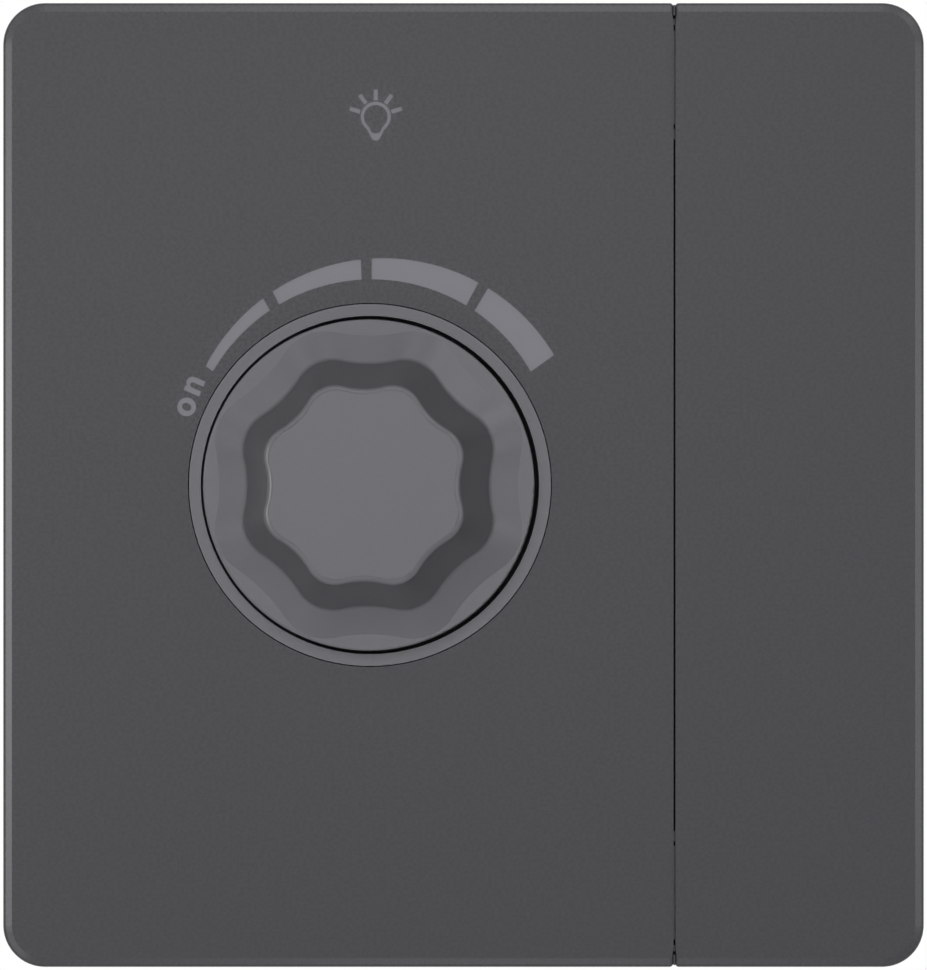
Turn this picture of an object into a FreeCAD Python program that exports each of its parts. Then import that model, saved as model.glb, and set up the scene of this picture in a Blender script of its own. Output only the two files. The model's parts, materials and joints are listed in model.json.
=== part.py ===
"""Wall dimmer switch: a frameless two-part cover with a lobed rotary knob and a side rocker.

Frame: X to the right and Z up as the wall shows them, origin on the wall at the plate's centre.
The room is towards -Y, so every height below is a distance from the wall towards the room, and
a negative height lies inside the wall box. All sizes are in millimetres.
"""

import FreeCAD, Part
import math
import os

import Sketcher
from FreeCAD import Rotation, Vector

DOC = FreeCAD.newDocument("DimmerSwitch")
SHEET = DOC.addObject("Spreadsheet::Sheet", "sizes")

SIZES = (
    # Covers
    ("plate_width", 66.0),
    ("cover_end", 4.55),
    ("face_height", 10.0),
    ("corner_radius", 3.0),
    ("split_x", 15.03),
    ("split_gap", 0.14),
    ("split_corner_radius", 0.25),
    ("cover_wall", 1.8),
    ("skirt_wall", 0.9),
    ("bevel_width", 0.68),
    ("bevel_drop", 0.16),
    ("edge_radius", 0.3),
    ("cover_rib_depth", 1.1),
    ("cover_rib_thickness", 1.0),
    ("split_wall_foot", 6.5),
    ("hook_width", 5.0),
    ("hook_thickness", 1.2),
    ("hook_nib", 0.5),
    ("hook_nib_height", 0.8),
    ("hook_nib_slope", 0.35),
    ("hook_reach", 2.2),
    ("hook_nib_gap", 0.1),
    ("hook_end_gap", 5.35),
    ("hook_left_x", -22.0),
    ("hook_right_x", 10.0),
    ("hook_clearance", 0.2),
    # Bezel ring and knob
    ("knob_x", -6.7),
    ("ring_outer_radius", 12.95),
    ("ring_bore_radius", 12.11),
    ("ring_fit_gap", 0.08),
    ("ring_flange_radius", 14.1),
    ("ring_flange_thickness", 1.0),
    ("ring_seat_wall", 0.9),
    ("ring_seat_depth", 1.6),
    ("flange_radius", 11.72),
    ("flange_rise", 2.5),
    ("flange_edge_radius", 0.12),
    ("flare_rise", 1.0),
    ("flare_foot_radius", 0.5),
    ("grip_rise", 9.0),
    ("lobe_count", 8),
    ("flare_lobe_radius", 11.47),
    ("flare_valley_radius", 10.55),
    ("grip_lobe_radius", 9.23),
    ("grip_valley_radius", 8.46),
    ("top_lobe_radius", 7.06),
    ("top_valley_radius", 6.43),
    ("lobe_rounding", 0.3),
    ("top_edge_radius", 0.35),
    ("inlay_groove_inset", 0.3),
    ("inlay_groove_width", 0.06),
    ("inlay_groove_depth", 0.1),
    ("knob_wall", 1.4),
    ("rib_count", 4),
    ("rib_start_angle", 45.0),
    ("knob_foot_height", 8.0),
    ("hub_radius", 4.6),
    ("rib_thickness", 1.0),
    ("push_travel", 1.2),
    ("push_margin", 0.4),
    # Control shaft, bush and potentiometer
    ("shaft_radius", 3.0),
    ("shaft_flat", 1.5),
    ("shaft_front_height", 20.0),
    ("shaft_back_height", -9.0),
    ("slip_gap", 0.04),
    ("knob_flat_gap", 0.5),
    ("running_gap", 0.05),
    ("knob_clip_thickness", 0.4),
    ("knob_clip_width", 3.6),
    ("knob_clip_length", 7.0),
    ("bush_radius", 5.0),
    ("bush_front_height", 8.8),
    ("bush_flange_radius", 7.0),
    ("bush_flange_thickness", 1.2),
    ("nut_across_flats", 14.0),
    ("nut_thickness", 2.2),
    ("washer_radius", 7.6),
    ("washer_thickness", 0.5),
    ("shaft_clip_radius", 4.4),
    ("shaft_clip_thickness", 0.6),
    ("shaft_clip_seat", 0.3),
    ("shaft_groove_radius", 2.4),
    ("pot_radius", 10.0),
    ("pot_wall", 1.2),
    ("track_thickness", 0.8),
    ("rotor_radius", 7.6),
    ("rotor_thickness", 1.4),
    ("rotor_hub_radius", 4.4),
    ("rotor_front_height", -2.6),
    ("wiper_gap", 0.3),
    # Carrier frame and support plate
    ("frame_inset", 0.16),
    ("frame_base_height", 3.4),
    ("rail_height", 6.3),
    ("rail_inset", 1.15),
    ("frame_left_wall", 6.0),
    ("frame_right_wall", 3.0),
    ("frame_opening_from_screw", 5.25),
    ("frame_opening_radius", 1.5),
    ("rail_slot_depth", 1.6),
    ("rail_slot_width", 6.0),
    ("rail_rib", 0.75),
    ("rail_groove", 0.4),
    ("rail_outer_rib", 0.45),
    ("support_recess", 0.1),
    ("support_thickness", 1.2),
    ("support_width", 62.0),
    ("support_end", 3.0),
    ("support_radius", 2.5),
    ("support_gap", 0.2),
    ("support_lap", 3.0),
    ("support_opening_radius", 5.0),
    ("box_screw_spacing", 60.0),
    ("box_slot_radius", 1.7),
    ("box_slot_length", 5.0),
    ("access_hole_radius", 3.2),
    ("frame_screw_from_box_screw", 1.0),
    ("frame_screw_left_x", -12.5),
    ("frame_screw_right_x", 22.0),
    ("frame_screw_radius", 1.25),
    ("frame_screw_head_radius", 2.5),
    ("frame_screw_head", 1.5),
    ("frame_screw_seat", 3.0),
    ("screw_clearance", 0.25),
    ("screw_drive_radius", 1.1),
    ("screw_drive_width", 0.5),
    ("screw_drive_depth", 0.8),
    # Insert housing
    ("housing_radius", 10.0),
    ("housing_wall", 1.6),
    ("housing_back_radius", 1.0),
    ("lid_left_gap", 2.6),
    ("lid_right_gap", 0.5),
    ("lid_end_gap", 0.45),
    ("lid_radius", 1.2),
    ("lid_front_height", 4.0),
    ("lid_spigot_depth", 2.4),
    ("lid_spigot_wall", 1.6),
    ("lid_spigot_gap", 0.2),
    ("boss_inset", 5.8),
    ("boss_radius", 2.75),
    ("boss_hole_radius", 1.15),
    ("boss_depth", 16.0),
    ("boss_drop", 1.25),
    ("housing_screw_radius", 1.1),
    ("housing_screw_head_radius", 2.1),
    ("housing_screw_head", 1.3),
    ("housing_screw_length", 14.0),
    ("vent_width", 1.2),
    ("vent_length", 12.0),
    ("vent_pitch", 3.0),
    ("vent_count", 5),
    # Circuit board and what it carries
    ("board_side_gap", 0.4),
    ("board_switch_gap", 1.4),
    ("board_end_gap", 0.6),
    ("board_front_height", -8.4),
    ("board_thickness", 1.6),
    ("component_room", 10.4),
    ("board_post_radius", 1.5),
    ("upper_left_post_from_sink", 7.4),
    ("upper_left_post_from_end", 4.6),
    ("lower_left_post_from_sink", 2.1),
    ("lower_left_post_z", -8.0),
    ("right_posts_from_edge", 1.7),
    ("upper_right_post_from_end", 3.0),
    ("lower_right_post_z", -10.8),
    ("part_gap", 0.05),
    ("switch_case_width", 13.0),
    ("switch_case_height", 9.6),
    ("switch_case_floor_gap", 1.9),
    ("plunger_radius", 2.4),
    ("plunger_head_radius", 3.8),
    ("plunger_head_thickness", 1.6),
    ("plunger_head_drop", 2.0),
    ("plunger_cavity_radius", 4.1),
    ("switch_case_floor", 1.0),
    ("switch_contact_thickness", 0.4),
    ("switch_contact_width", 3.0),
    ("spring_wire", 0.5),
    ("spring_radius", 2.6),
    ("spring_turns", 2.5),
    ("choke_x", -3.0),
    ("choke_end_gap", 0.45),
    ("choke_core_outer", 6.4),
    ("choke_core_inner", 4.0),
    ("choke_core_thickness", 4.6),
    ("choke_wire", 0.9),
    ("choke_winding_angle", 300.0),
    ("film_capacitor_edge_gap", 1.9),
    ("film_capacitor_rounding", 0.5),
    ("film_capacitor_z", -1.5),
    ("film_capacitor_width", 7.0),
    ("film_capacitor_length", 13.0),
    ("capacitor_floor_gap", 1.4),
    ("electrolytic_sink_gap", 1.1),
    ("electrolytic_z", 9.9),
    ("electrolytic_radius", 3.9),
    ("start_capacitor_edge_gap", 0.5),
    ("start_capacitor_z", 12.5),
    ("start_capacitor_radius", 2.9),
    ("start_capacitor_floor_gap", 3.4),
    ("fuse_from_sink", 5.6),
    ("fuse_z", -9.2),
    ("fuse_length", 15.0),
    ("fuse_radius", 2.3),
    ("fuse_cap_length", 3.0),
    ("fuse_cap_radius", 2.5),
    ("heat_sink_thickness", 1.5),
    ("heat_sink_length", 20.0),
    ("heat_sink_floor_gap", 0.8),
    ("heat_sink_gap", 0.3),
    ("triac_width", 9.0),
    ("triac_depth", 5.4),
    ("triac_thickness", 3.2),
    ("triac_tab", 0.9),
    ("triac_floor_gap", 0.4),
    ("triac_stand_off", 1.0),
    ("triac_z", 0.0),
    ("triac_screw_head", 1.0),
    ("triac_screw_head_radius", 1.7),
    ("triac_screw_radius", 1.2),
    ("chip_from_edge", 4.4),
    ("chip_z", -10.5),
    ("chip_width", 3.9),
    ("chip_length", 4.9),
    ("chip_thickness", 1.5),
    # Terminals
    ("terminal_count", 3),
    ("terminal_pitch", 8.0),
    ("terminal_size", 6.0),
    ("terminal_length", 8.0),
    ("terminal_inset", 5.0),
    ("terminal_ledge", 0.4),
    ("terminal_bore_radius", 1.7),
    ("terminal_screw_radius", 1.3),
    ("terminal_screw_head_radius", 1.9),
    ("terminal_screw_head", 1.5),
    # Side rocker and the switch under it
    ("rocker_foot", 5.2),
    ("rocker_pivot_height", 5.0),
    ("rocker_pin_radius", 1.0),
    ("rocker_lug_left", 16.3),
    ("rocker_lug_thickness", 1.2),
    ("rocker_lug_right_thickness", 1.0),
    ("rocker_lug_half_width", 2.0),
    ("rocker_lug_top", 6.7),
    ("rocker_side_gap", 0.3),
    ("lever_plate_thickness", 1.4),
    ("lever_half_length", 22.0),
    ("lever_barrel_radius", 2.0),
    ("lever_clip_wall", 0.9),
    ("lever_clip_depth", 2.2),
    ("finger_left", 17.8),
    ("finger_width", 1.8),
    ("finger_half_thickness", 0.8),
    ("finger_tip_height", -5.0),
    ("finger_tip_radius", 1.0),
    ("window_half_length", 3.2),
    ("window_margin", 0.8),
    ("rocker_spring_z", 13.0),
    ("rocker_spring_radius", 1.7),
    ("rocker_spring_wire", 0.35),
    ("rocker_spring_turns", 3.0),
    ("toggle_pivot_height", -8.5),
    ("toggle_pin_radius", 0.8),
    ("toggle_hub_radius", 1.9),
    ("toggle_fork_wall", 0.9),
    ("toggle_fork_gap", 0.08),
    ("toggle_left", 16.2),
    ("toggle_width", 3.6),
    ("toggle_arm_half_length", 8.0),
    ("toggle_arm_thickness", 1.3),
    ("bridge_thickness", 0.4),
    ("bridge_pad_radius", 1.1),
    ("bridge_pad_thickness", 0.5),
    ("contact_z", 7.0),
    ("contact_gap", 1.3),
    ("contact_thickness", 0.6),
    ("switch_base_width", 7.75),
    ("switch_base_half_length", 10.5),
    ("switch_cheek", 1.2),
    ("switch_base_floor", 1.6),
    ("switch_foot_half_length", 3.0),
    ("bridge_margin", 0.6),
    ("contact_near", 5.0),
    ("fork_reach", 1.0),
    ("rocker_end_margin", 1.0),
    ("lever_clip_near", 8.0),
    ("lever_clip_far", 14.0),
)


class Size:
    """A length that knows its number and the sheet expression that gives it."""

    def __init__(self, number, text):
        self.number = number
        self.text = text

    def joined(self, other, sign, number):
        return Size(number, f"({self.text} {sign} {text_of(other)})")

    def __add__(self, other):
        return self.joined(other, "+", self.number + float(other))

    def __sub__(self, other):
        return self.joined(other, "-", self.number - float(other))

    def __mul__(self, other):
        return self.joined(other, "*", self.number * float(other))

    def __truediv__(self, other):
        return self.joined(other, "/", self.number / float(other))

    def __neg__(self):
        return Size(-self.number, f"(-1 * {self.text})")

    def __float__(self):
        return float(self.number)


def text_of(size):
    """Expression text of a Size or of a plain number."""
    return size.text if isinstance(size, Size) else f"({float(size)!r})"


class Sizes:
    """The sheet's cells by alias, each as a Size."""

    def __init__(self, rows):
        for row, (alias, number) in enumerate(rows, start=1):
            SHEET.set(f"A{row}", alias)
            SHEET.set(f"B{row}", str(number))
            SHEET.setAlias(f"B{row}", alias)
            setattr(self, alias, Size(number, f"sizes.{alias}"))


d = Sizes(SIZES)
DOC.recompute()

ZERO = Size(0.0, "0")
PIECES = []


def bind(obj, **sizes):
    """Binds an object's properties to the sheet; a double underscore stands for a dot."""
    for name, size in sizes.items():
        obj.setExpression(name.replace("__", "."), text_of(size))


def piece(label, obj):
    """Names a finished sub-part, which gets a STEP file of that name."""
    DOC.recompute()
    obj.Label = label
    PIECES.append(obj)
    return obj


# Primitives and booleans


def block(name, x, height, z):
    """A box between two X places, two heights above the wall and two Z places."""
    box = DOC.addObject("Part::Box", name)
    bind(box, Length=x[1] - x[0], Width=height[1] - height[0], Height=z[1] - z[0])
    bind(box, Placement__Base__x=x[0], Placement__Base__y=-height[1], Placement__Base__z=z[0])
    return box


def cylinder(name, radius, length, base, rotation):
    """A cylinder from a base point (x, y, z) along the turned Z axis."""
    rod = DOC.addObject("Part::Cylinder", name)
    rod.Placement = FreeCAD.Placement(Vector(), rotation)
    bind(rod, Radius=radius, Height=length)
    bind(rod, Placement__Base__x=base[0], Placement__Base__y=base[1], Placement__Base__z=base[2])
    return rod


def rod_out(name, x, z, height, radius):
    """A cylinder that stands out from the wall between two heights."""
    turn = Rotation(Vector(1, 0, 0), 90)
    return cylinder(name, radius, height[1] - height[0], (x, -height[0], z), turn)


def rod_across(name, x, height, z, radius):
    """A cylinder along X between two X places."""
    turn = Rotation(Vector(0, 1, 0), 90)
    return cylinder(name, radius, x[1] - x[0], (x[0], -height, z), turn)


def rod_up(name, x, height, z, radius):
    """A cylinder along Z between two Z places."""
    return cylinder(name, radius, z[1] - z[0], (x, -height, z[0]), Rotation())


def fuse(name, *parts):
    joined = DOC.addObject("Part::MultiFuse", name)
    joined.Shapes = list(parts)
    return joined


def cut(name, base, *tools):
    result = DOC.addObject("Part::Cut", name)
    result.Base = base
    result.Tool = tools[0] if len(tools) == 1 else fuse(f"{name}_tools", *tools)
    return result


def group(name, *parts):
    """Separate solids of one node, such as a set of screws."""
    together = DOC.addObject("Part::Compound", name)
    together.Links = list(parts)
    return together


# Bodies with sketches


def new_body(name):
    return DOC.addObject("PartDesign::Body", name)


def new_sketch(body, name, role, offset=(ZERO, ZERO, ZERO)):
    """A sketch on one of the body's own origin planes, moved by an offset in the plane's axes."""
    sketch = body.newObject("Sketcher::SketchObject", name)
    plane = [feature for feature in body.Origin.OriginFeatures if feature.Role == role][0]
    sketch.AttachmentSupport = (plane, [""])
    sketch.MapMode = "FlatFace"
    bind(
        sketch,
        AttachmentOffset__Base__x=offset[0],
        AttachmentOffset__Base__y=offset[1],
        AttachmentOffset__Base__z=offset[2],
    )
    return sketch


def place_point(sketch, geometry, position, x, y):
    """Holds a point of a sketch's geometry at bound distances from the sketch's origin."""
    for kind, size in (("DistanceX", x), ("DistanceY", y)):
        row = sketch.addConstraint(Sketcher.Constraint(kind, -1, 1, geometry, position, float(size)))
        sketch.setExpression(f"Constraints[{row}]", text_of(size))


def draw_outline(sketch, corners):
    """A closed outline, anticlockwise, through corners (x, y, rounding or None)."""
    points = [Vector(float(x), float(y), 0) for x, y, _ in corners]
    count = len(points)
    trims = []
    for i, (_, _, rounding) in enumerate(corners):
        towards = (points[i] - points[i - 1]).normalize()
        onwards = (points[(i + 1) % count] - points[i]).normalize()
        turn = towards.getAngle(onwards)
        trims.append(float(rounding) * math.tan(turn / 2) if rounding else 0.0)
    lines = []
    for i in range(count):
        j = (i + 1) % count
        along = (points[j] - points[i]).normalize()
        start = points[i] + along * trims[i]
        end = points[j] - along * trims[j]
        lines.append(sketch.addGeometry(Part.LineSegment(start, end), False))
    for i, (x, y, rounding) in enumerate(corners):
        before, after = lines[i - 1], lines[i]
        if not rounding:
            sketch.addConstraint(Sketcher.Constraint("Coincident", before, 2, after, 1))
            place_point(sketch, after, 1, x, y)
            continue
        towards = (points[i] - points[i - 1]).normalize()
        onwards = (points[(i + 1) % count] - points[i]).normalize()
        left_turn = towards.cross(onwards).z > 0
        side = Vector(-towards.y, towards.x, 0) * (1 if left_turn else -1)
        start = points[i] - towards * trims[i]
        end = points[i] + onwards * trims[i]
        centre = start + side * float(rounding)
        first, last = (start, end) if left_turn else (end, start)
        angles = [math.atan2(p.y - centre.y, p.x - centre.x) for p in (first, last)]
        circle = Part.Circle(centre, Vector(0, 0, 1), float(rounding))
        arc = sketch.addGeometry(Part.ArcOfCircle(circle, angles[0], angles[1]), False)
        arc_start, arc_end = (1, 2) if left_turn else (2, 1)
        corner = sketch.addGeometry(Part.Point(points[i]), True)
        place_point(sketch, corner, 1, x, y)
        sketch.addConstraint(Sketcher.Constraint("PointOnObject", corner, 1, before))
        sketch.addConstraint(Sketcher.Constraint("PointOnObject", corner, 1, after))
        sketch.addConstraint(Sketcher.Constraint("Tangent", before, 2, arc, arc_start))
        sketch.addConstraint(Sketcher.Constraint("Tangent", arc, arc_end, after, 1))
        row = sketch.addConstraint(Sketcher.Constraint("Radius", arc, float(rounding)))
        sketch.setExpression(f"Constraints[{row}]", text_of(rounding))


def draw_circle(sketch, x, y, radius):
    circle = Part.Circle(Vector(float(x), float(y), 0), Vector(0, 0, 1), float(radius))
    index = sketch.addGeometry(circle, False)
    place_point(sketch, index, 3, x, y)
    row = sketch.addConstraint(Sketcher.Constraint("Radius", index, float(radius)))
    sketch.setExpression(f"Constraints[{row}]", text_of(radius))


def rectangle(x, z, rounding=None):
    """The corners of a rectangle between two X and two Z places."""
    return [
        (x[0], z[0], rounding),
        (x[1], z[0], rounding),
        (x[1], z[1], rounding),
        (x[0], z[1], rounding),
    ]


def centred(width, height, rounding=None):
    return rectangle((-width / 2, width / 2), (-height / 2, height / 2), rounding)


def front_sketch(body, name, height, outlines=(), circles=()):
    """A sketch parallel to the wall at a height, seen from the room."""
    sketch = new_sketch(body, name, "XZ_Plane", (ZERO, ZERO, height))
    for corners in outlines:
        draw_outline(sketch, corners)
    for x, z, radius in circles:
        draw_circle(sketch, x, z, radius)
    return sketch


def raised(body, name, height, outlines=(), circles=()):
    """Pads outlines from the lower height to the upper one."""
    pad = body.newObject("PartDesign::Pad", name)
    pad.Profile = front_sketch(body, f"{name}_sketch", height[0], outlines, circles)
    bind(pad, Length=height[1] - height[0])
    DOC.recompute()
    return pad


def sunk(body, name, height, outlines=(), circles=()):
    """Pockets outlines from the upper height down to the lower one."""
    before = body.Shape.Volume
    pocket = body.newObject("PartDesign::Pocket", name)
    pocket.Profile = front_sketch(body, f"{name}_sketch", height[1], outlines, circles)
    bind(pocket, Length=height[1] - height[0])
    DOC.recompute()
    if not body.Shape.Volume < before:
        raise RuntimeError(f"{name} cuts nothing")
    return pocket


def turned(name, profile, x=ZERO, z=ZERO):
    """A body turned about an axis out of the wall; the profile's points are (radius, height)."""
    body = new_body(name)
    sketch = new_sketch(body, f"{name}_profile", "XY_Plane", (x, ZERO, z))
    draw_outline(sketch, [(radius, -height, None) for radius, height in profile])
    revolution = body.newObject("PartDesign::Revolution", f"{name}_turned")
    revolution.Profile = sketch
    revolution.ReferenceAxis = (sketch, ["V_Axis"])
    revolution.Angle = 360
    DOC.recompute()
    return body


def edges_where(shape, test):
    """Names of the edges that pass a test on their two ends."""
    names = []
    for number, edge in enumerate(shape.Edges, start=1):
        ends = [vertex.Point for vertex in edge.Vertexes]
        if len(ends) == 2 and test(ends[0], ends[1]):
            names.append(f"Edge{number}")
    return names


def dress(body, kind, name, edges, **sizes):
    """Adds a Fillet or Chamfer to named edges of the body's last feature."""
    feature = body.newObject(f"PartDesign::{kind}", name)
    feature.Base = (body.Tip if body.Tip is not feature else feature.BaseFeature, edges)
    bind(feature, **sizes)
    DOC.recompute()
    return feature


# Places that several sub-parts share

half_width = d.plate_width / 2
half_height = d.box_screw_spacing / 2 + d.cover_end
cover_back = d.face_height - d.cover_wall
rocker_left = d.split_x + d.split_gap
hook_z = half_height - d.hook_end_gap
ledge_height = d.hook_reach + d.hook_nib_height + d.hook_nib_gap
frame_screw_z = d.box_screw_spacing / 2 - d.frame_screw_from_box_screw
frame_opening_half = d.box_screw_spacing / 2 - d.frame_opening_from_screw
frame_opening_left = -half_width + d.frame_left_wall
frame_opening_right = half_width - d.frame_right_wall
lid_left = frame_opening_left + d.lid_left_gap
lid_right = frame_opening_right - d.lid_right_gap
lid_half = frame_opening_half - d.lid_end_gap
support_height = d.box_screw_spacing + d.support_end * 2
support_back = d.support_recess
support_front = support_back + d.support_thickness
bush_back = support_front - d.bush_flange_thickness
toggle_right = d.toggle_left + d.toggle_width
switch_base_right = toggle_right + d.rocker_side_gap / 2 + d.switch_cheek
switch_base_left = switch_base_right - d.switch_base_width
housing_inner = switch_base_right + d.screw_clearance
housing_width = (housing_inner + d.housing_wall) * 2
support_opening = housing_width - d.support_lap * 2
boss_offset = housing_width / 2 - d.boss_inset
board_back = d.board_front_height - d.board_thickness
board_left = -housing_inner + d.board_side_gap
board_right = switch_base_left - d.board_switch_gap
board_half = housing_inner - d.board_end_gap
housing_floor = board_back - d.component_room
housing_back = housing_floor - d.housing_wall
sink_left = -housing_inner + d.heat_sink_gap
sink_right = sink_left + d.heat_sink_thickness
choke_z = board_half - d.choke_end_gap - d.choke_wire + d.part_gap - d.choke_core_outer
terminal_z = -housing_inner + d.terminal_inset
flange_height = d.face_height + d.flange_rise
grip_foot_height = flange_height + d.flare_rise
knob_top_height = grip_foot_height + d.grip_rise
hub_foot_height = d.bush_front_height + d.push_travel + d.push_margin
frame_half_width = half_width - d.frame_inset
frame_half_height = half_height - d.frame_inset
rail_half_height = half_height - d.rail_inset
rail_half_width = half_width - d.rail_inset
switch_case_back = housing_floor + d.switch_case_floor_gap
plunger_head_front = board_back - d.plunger_head_drop
plunger_head_back = plunger_head_front - d.plunger_head_thickness


def on_outline(height, outer_side):
    """A test for edges at a height that lie on the plate's outline, on one cover's outer side."""

    def test(first, last):
        at_height = all(abs(point.y + float(height)) < 1e-4 for point in (first, last))
        middle = (first + last) / 2
        near_side = abs(middle.x - float(outer_side)) < float(d.corner_radius)
        near_end = abs(middle.z) > float(half_height) - float(d.corner_radius)
        return at_height and (near_side or near_end)

    return test


def round_outline(body, name, outer_side, split_side):
    """Bevels a cover's front rim, rounds the edge left there, and then the corners at the split."""
    rim = edges_where(body.Shape, on_outline(d.face_height, outer_side))
    bevel = dress(body, "Chamfer", f"{name}_bevel", rim, Size=d.bevel_drop, Size2=d.bevel_width)
    bevel.ChamferType = "Two distances"
    DOC.recompute()
    edge = edges_where(body.Shape, on_outline(d.face_height - d.bevel_drop, outer_side))
    dress(body, "Fillet", f"{name}_rim", edge, Radius=d.edge_radius)

    def at_split(first, last):
        upright = all(abs(point.x - float(split_side)) < 1e-4 for point in (first, last))
        at_end = all(abs(abs(point.z) - float(half_height)) < 1e-4 for point in (first, last))
        return upright and at_end and first.z * last.z > 0

    corners = edges_where(body.Shape, at_split)
    dress(body, "Fillet", f"{name}_split_corners", corners, Radius=d.split_corner_radius)


def make_front_cover():
    """The large cover: a shell with the ring's hole and seat, and hooks for the carrier frame."""
    body = new_body("front_cover")
    outline = [
        (-half_width, -half_height, d.corner_radius),
        (d.split_x, -half_height, None),
        (d.split_x, half_height, None),
        (-half_width, half_height, d.corner_radius),
    ]
    raised(body, "cover_shell", (d.frame_base_height, d.face_height), [outline])
    round_outline(body, "cover", -half_width, d.split_x)
    inner_corner = d.corner_radius - d.skirt_wall
    inner_left, inner_right = -half_width + d.skirt_wall, d.split_x - d.skirt_wall
    inner_top = half_height - d.skirt_wall
    inner = [
        (inner_left, -inner_top, inner_corner),
        (inner_right, -inner_top, None),
        (inner_right, inner_top, None),
        (inner_left, inner_top, inner_corner),
    ]
    sunk(body, "cover_hollow", (d.frame_base_height, cover_back), [inner])
    split_wall = rectangle(
        (d.split_x - d.skirt_wall * 2, d.split_x + d.skirt_wall),
        (-half_height + d.skirt_wall, half_height - d.skirt_wall),
    )
    sunk(body, "split_wall_foot", (d.frame_base_height, d.split_wall_foot), [split_wall])
    seat_inner = d.ring_flange_radius + d.ring_fit_gap
    seat_circles = [(d.knob_x, ZERO, seat_inner), (d.knob_x, ZERO, seat_inner + d.ring_seat_wall)]
    raised(body, "ring_seat", (cover_back - d.ring_seat_depth, cover_back), (), seat_circles)
    raised(body, "ribs", (cover_back - d.cover_rib_depth, cover_back), cover_ribs(seat_inner))
    half_thickness = d.hook_thickness / 2
    raised(body, "hooks", (d.hook_reach, cover_back), hook_strips(-half_thickness, half_thickness))
    nib_tip = half_thickness + d.hook_nib
    nibs = hook_strips(half_thickness, nib_tip)
    raised(body, "hook_nibs", (d.hook_reach, d.hook_reach + d.hook_nib_height), nibs)

    def on_nib_tip(first, last):
        at_end = all(abs(point.y + float(d.hook_reach)) < 1e-4 for point in (first, last))
        tip = float(hook_z + nib_tip)
        return at_end and all(abs(abs(point.z) - tip) < 1e-4 for point in (first, last))

    slopes = edges_where(body.Shape, on_nib_tip)
    dress(body, "Chamfer", "hook_nib_slopes", slopes, Size=d.hook_nib_slope)
    hole = (d.knob_x, ZERO, d.ring_outer_radius + d.ring_fit_gap)
    sunk(body, "ring_hole", (cover_back, d.face_height), (), [hole])
    return piece("front_cover", body)


def cover_ribs(seat_inner):
    """Four stiffening ribs from the middle of the ring's seat wall to the cover's skirts."""
    seat = seat_inner + d.ring_seat_wall / 2
    half = d.cover_rib_thickness / 2
    end = half_height - d.skirt_wall
    level, upright = (-half, half), (d.knob_x - half, d.knob_x + half)
    return [
        rectangle((-half_width + d.skirt_wall, d.knob_x - seat), level),
        rectangle((d.knob_x + seat, d.split_x - d.skirt_wall), level),
        rectangle(upright, (seat, end)),
        rectangle(upright, (-end, -seat)),
    ]


def hook_strips(inner, outer, ease=ZERO):
    """A strip at each hook, between two distances from its middle, counted outwards along Z."""
    strips = []
    for x in (d.hook_left_x, d.hook_right_x):
        span = (x - d.hook_width / 2 - ease, x + d.hook_width / 2 + ease)
        strips.append(rectangle(span, (hook_z + inner, hook_z + outer)))
        strips.append(rectangle(span, (-hook_z - outer, -hook_z - inner)))
    return strips


def make_knob_ring():
    """The bezel ring, held by its flange between the cover and its seat."""
    flange_front = cover_back
    flange_back = cover_back - d.ring_flange_thickness
    profile = [
        (d.ring_bore_radius, flange_back),
        (d.ring_flange_radius, flange_back),
        (d.ring_flange_radius, flange_front),
        (d.ring_outer_radius, flange_front),
        (d.ring_outer_radius, d.face_height),
        (d.ring_bore_radius, d.face_height),
    ]
    return piece("knob_ring", turned("knob_ring", profile, d.knob_x))


def make_carrier_frame():
    """The moulded frame on the wall that carries both covers, with rails above and below."""
    body = new_body("carrier_frame")
    base_corner = d.corner_radius - d.frame_inset
    base = centred(frame_half_width * 2, frame_half_height * 2, base_corner)
    raised(body, "frame_base", (ZERO, d.frame_base_height), [base])
    rail_corner = d.corner_radius - d.rail_inset
    rail = centred(rail_half_width * 2, rail_half_height * 2, rail_corner)
    raised(body, "frame_rails", (d.frame_base_height, d.rail_height), [rail])
    opening = rectangle(
        (frame_opening_left, frame_opening_right),
        (-frame_opening_half, frame_opening_half),
        d.frame_opening_radius,
    )
    sunk(body, "frame_opening", (ZERO, d.rail_height), [opening])
    gap = d.support_gap * 2
    pocket = centred(d.support_width + gap, support_height + gap, d.support_radius + d.support_gap)
    sunk(body, "support_recess", (ZERO, support_front), [pocket])
    ease = d.hook_clearance
    passed = d.hook_thickness / 2 + ease
    cleared = passed + d.hook_nib
    slots = hook_strips(-cleared, passed, ease)
    sunk(body, "hook_slots", (support_front, d.rail_height), slots)
    nib_rooms = hook_strips(-cleared, cleared, ease)
    sunk(body, "hook_nib_rooms", (support_front, ledge_height), nib_rooms)
    screws = frame_screw_places()
    shank = d.frame_screw_radius + d.screw_clearance
    sunk(body, "screw_holes", (ZERO, d.rail_height), (), [(x, z, shank) for x, z in screws])
    head = d.frame_screw_head_radius + d.screw_clearance
    seats = [(x, z, head) for x, z in screws]
    sunk(body, "screw_seats", (d.frame_screw_seat, d.rail_height), (), seats)
    half = d.box_screw_spacing / 2
    access = [(ZERO, half * side, d.access_hole_radius) for side in (1, -1)]
    sunk(body, "box_screw_access", (ZERO, d.rail_height), (), access)
    grooves = []
    for near, far in rail_groove_places():
        for side in (1, -1):
            span = (near, far) if side > 0 else (-far, -near)
            middle = d.split_x + d.split_gap / 2
            across = (middle - d.rail_slot_width / 2, middle + d.rail_slot_width / 2)
            grooves.append(rectangle(across, span))
    sunk(body, "rail_grooves", (d.rail_height - d.rail_slot_depth, d.rail_height), grooves)
    return piece("carrier_frame", body)


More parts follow.
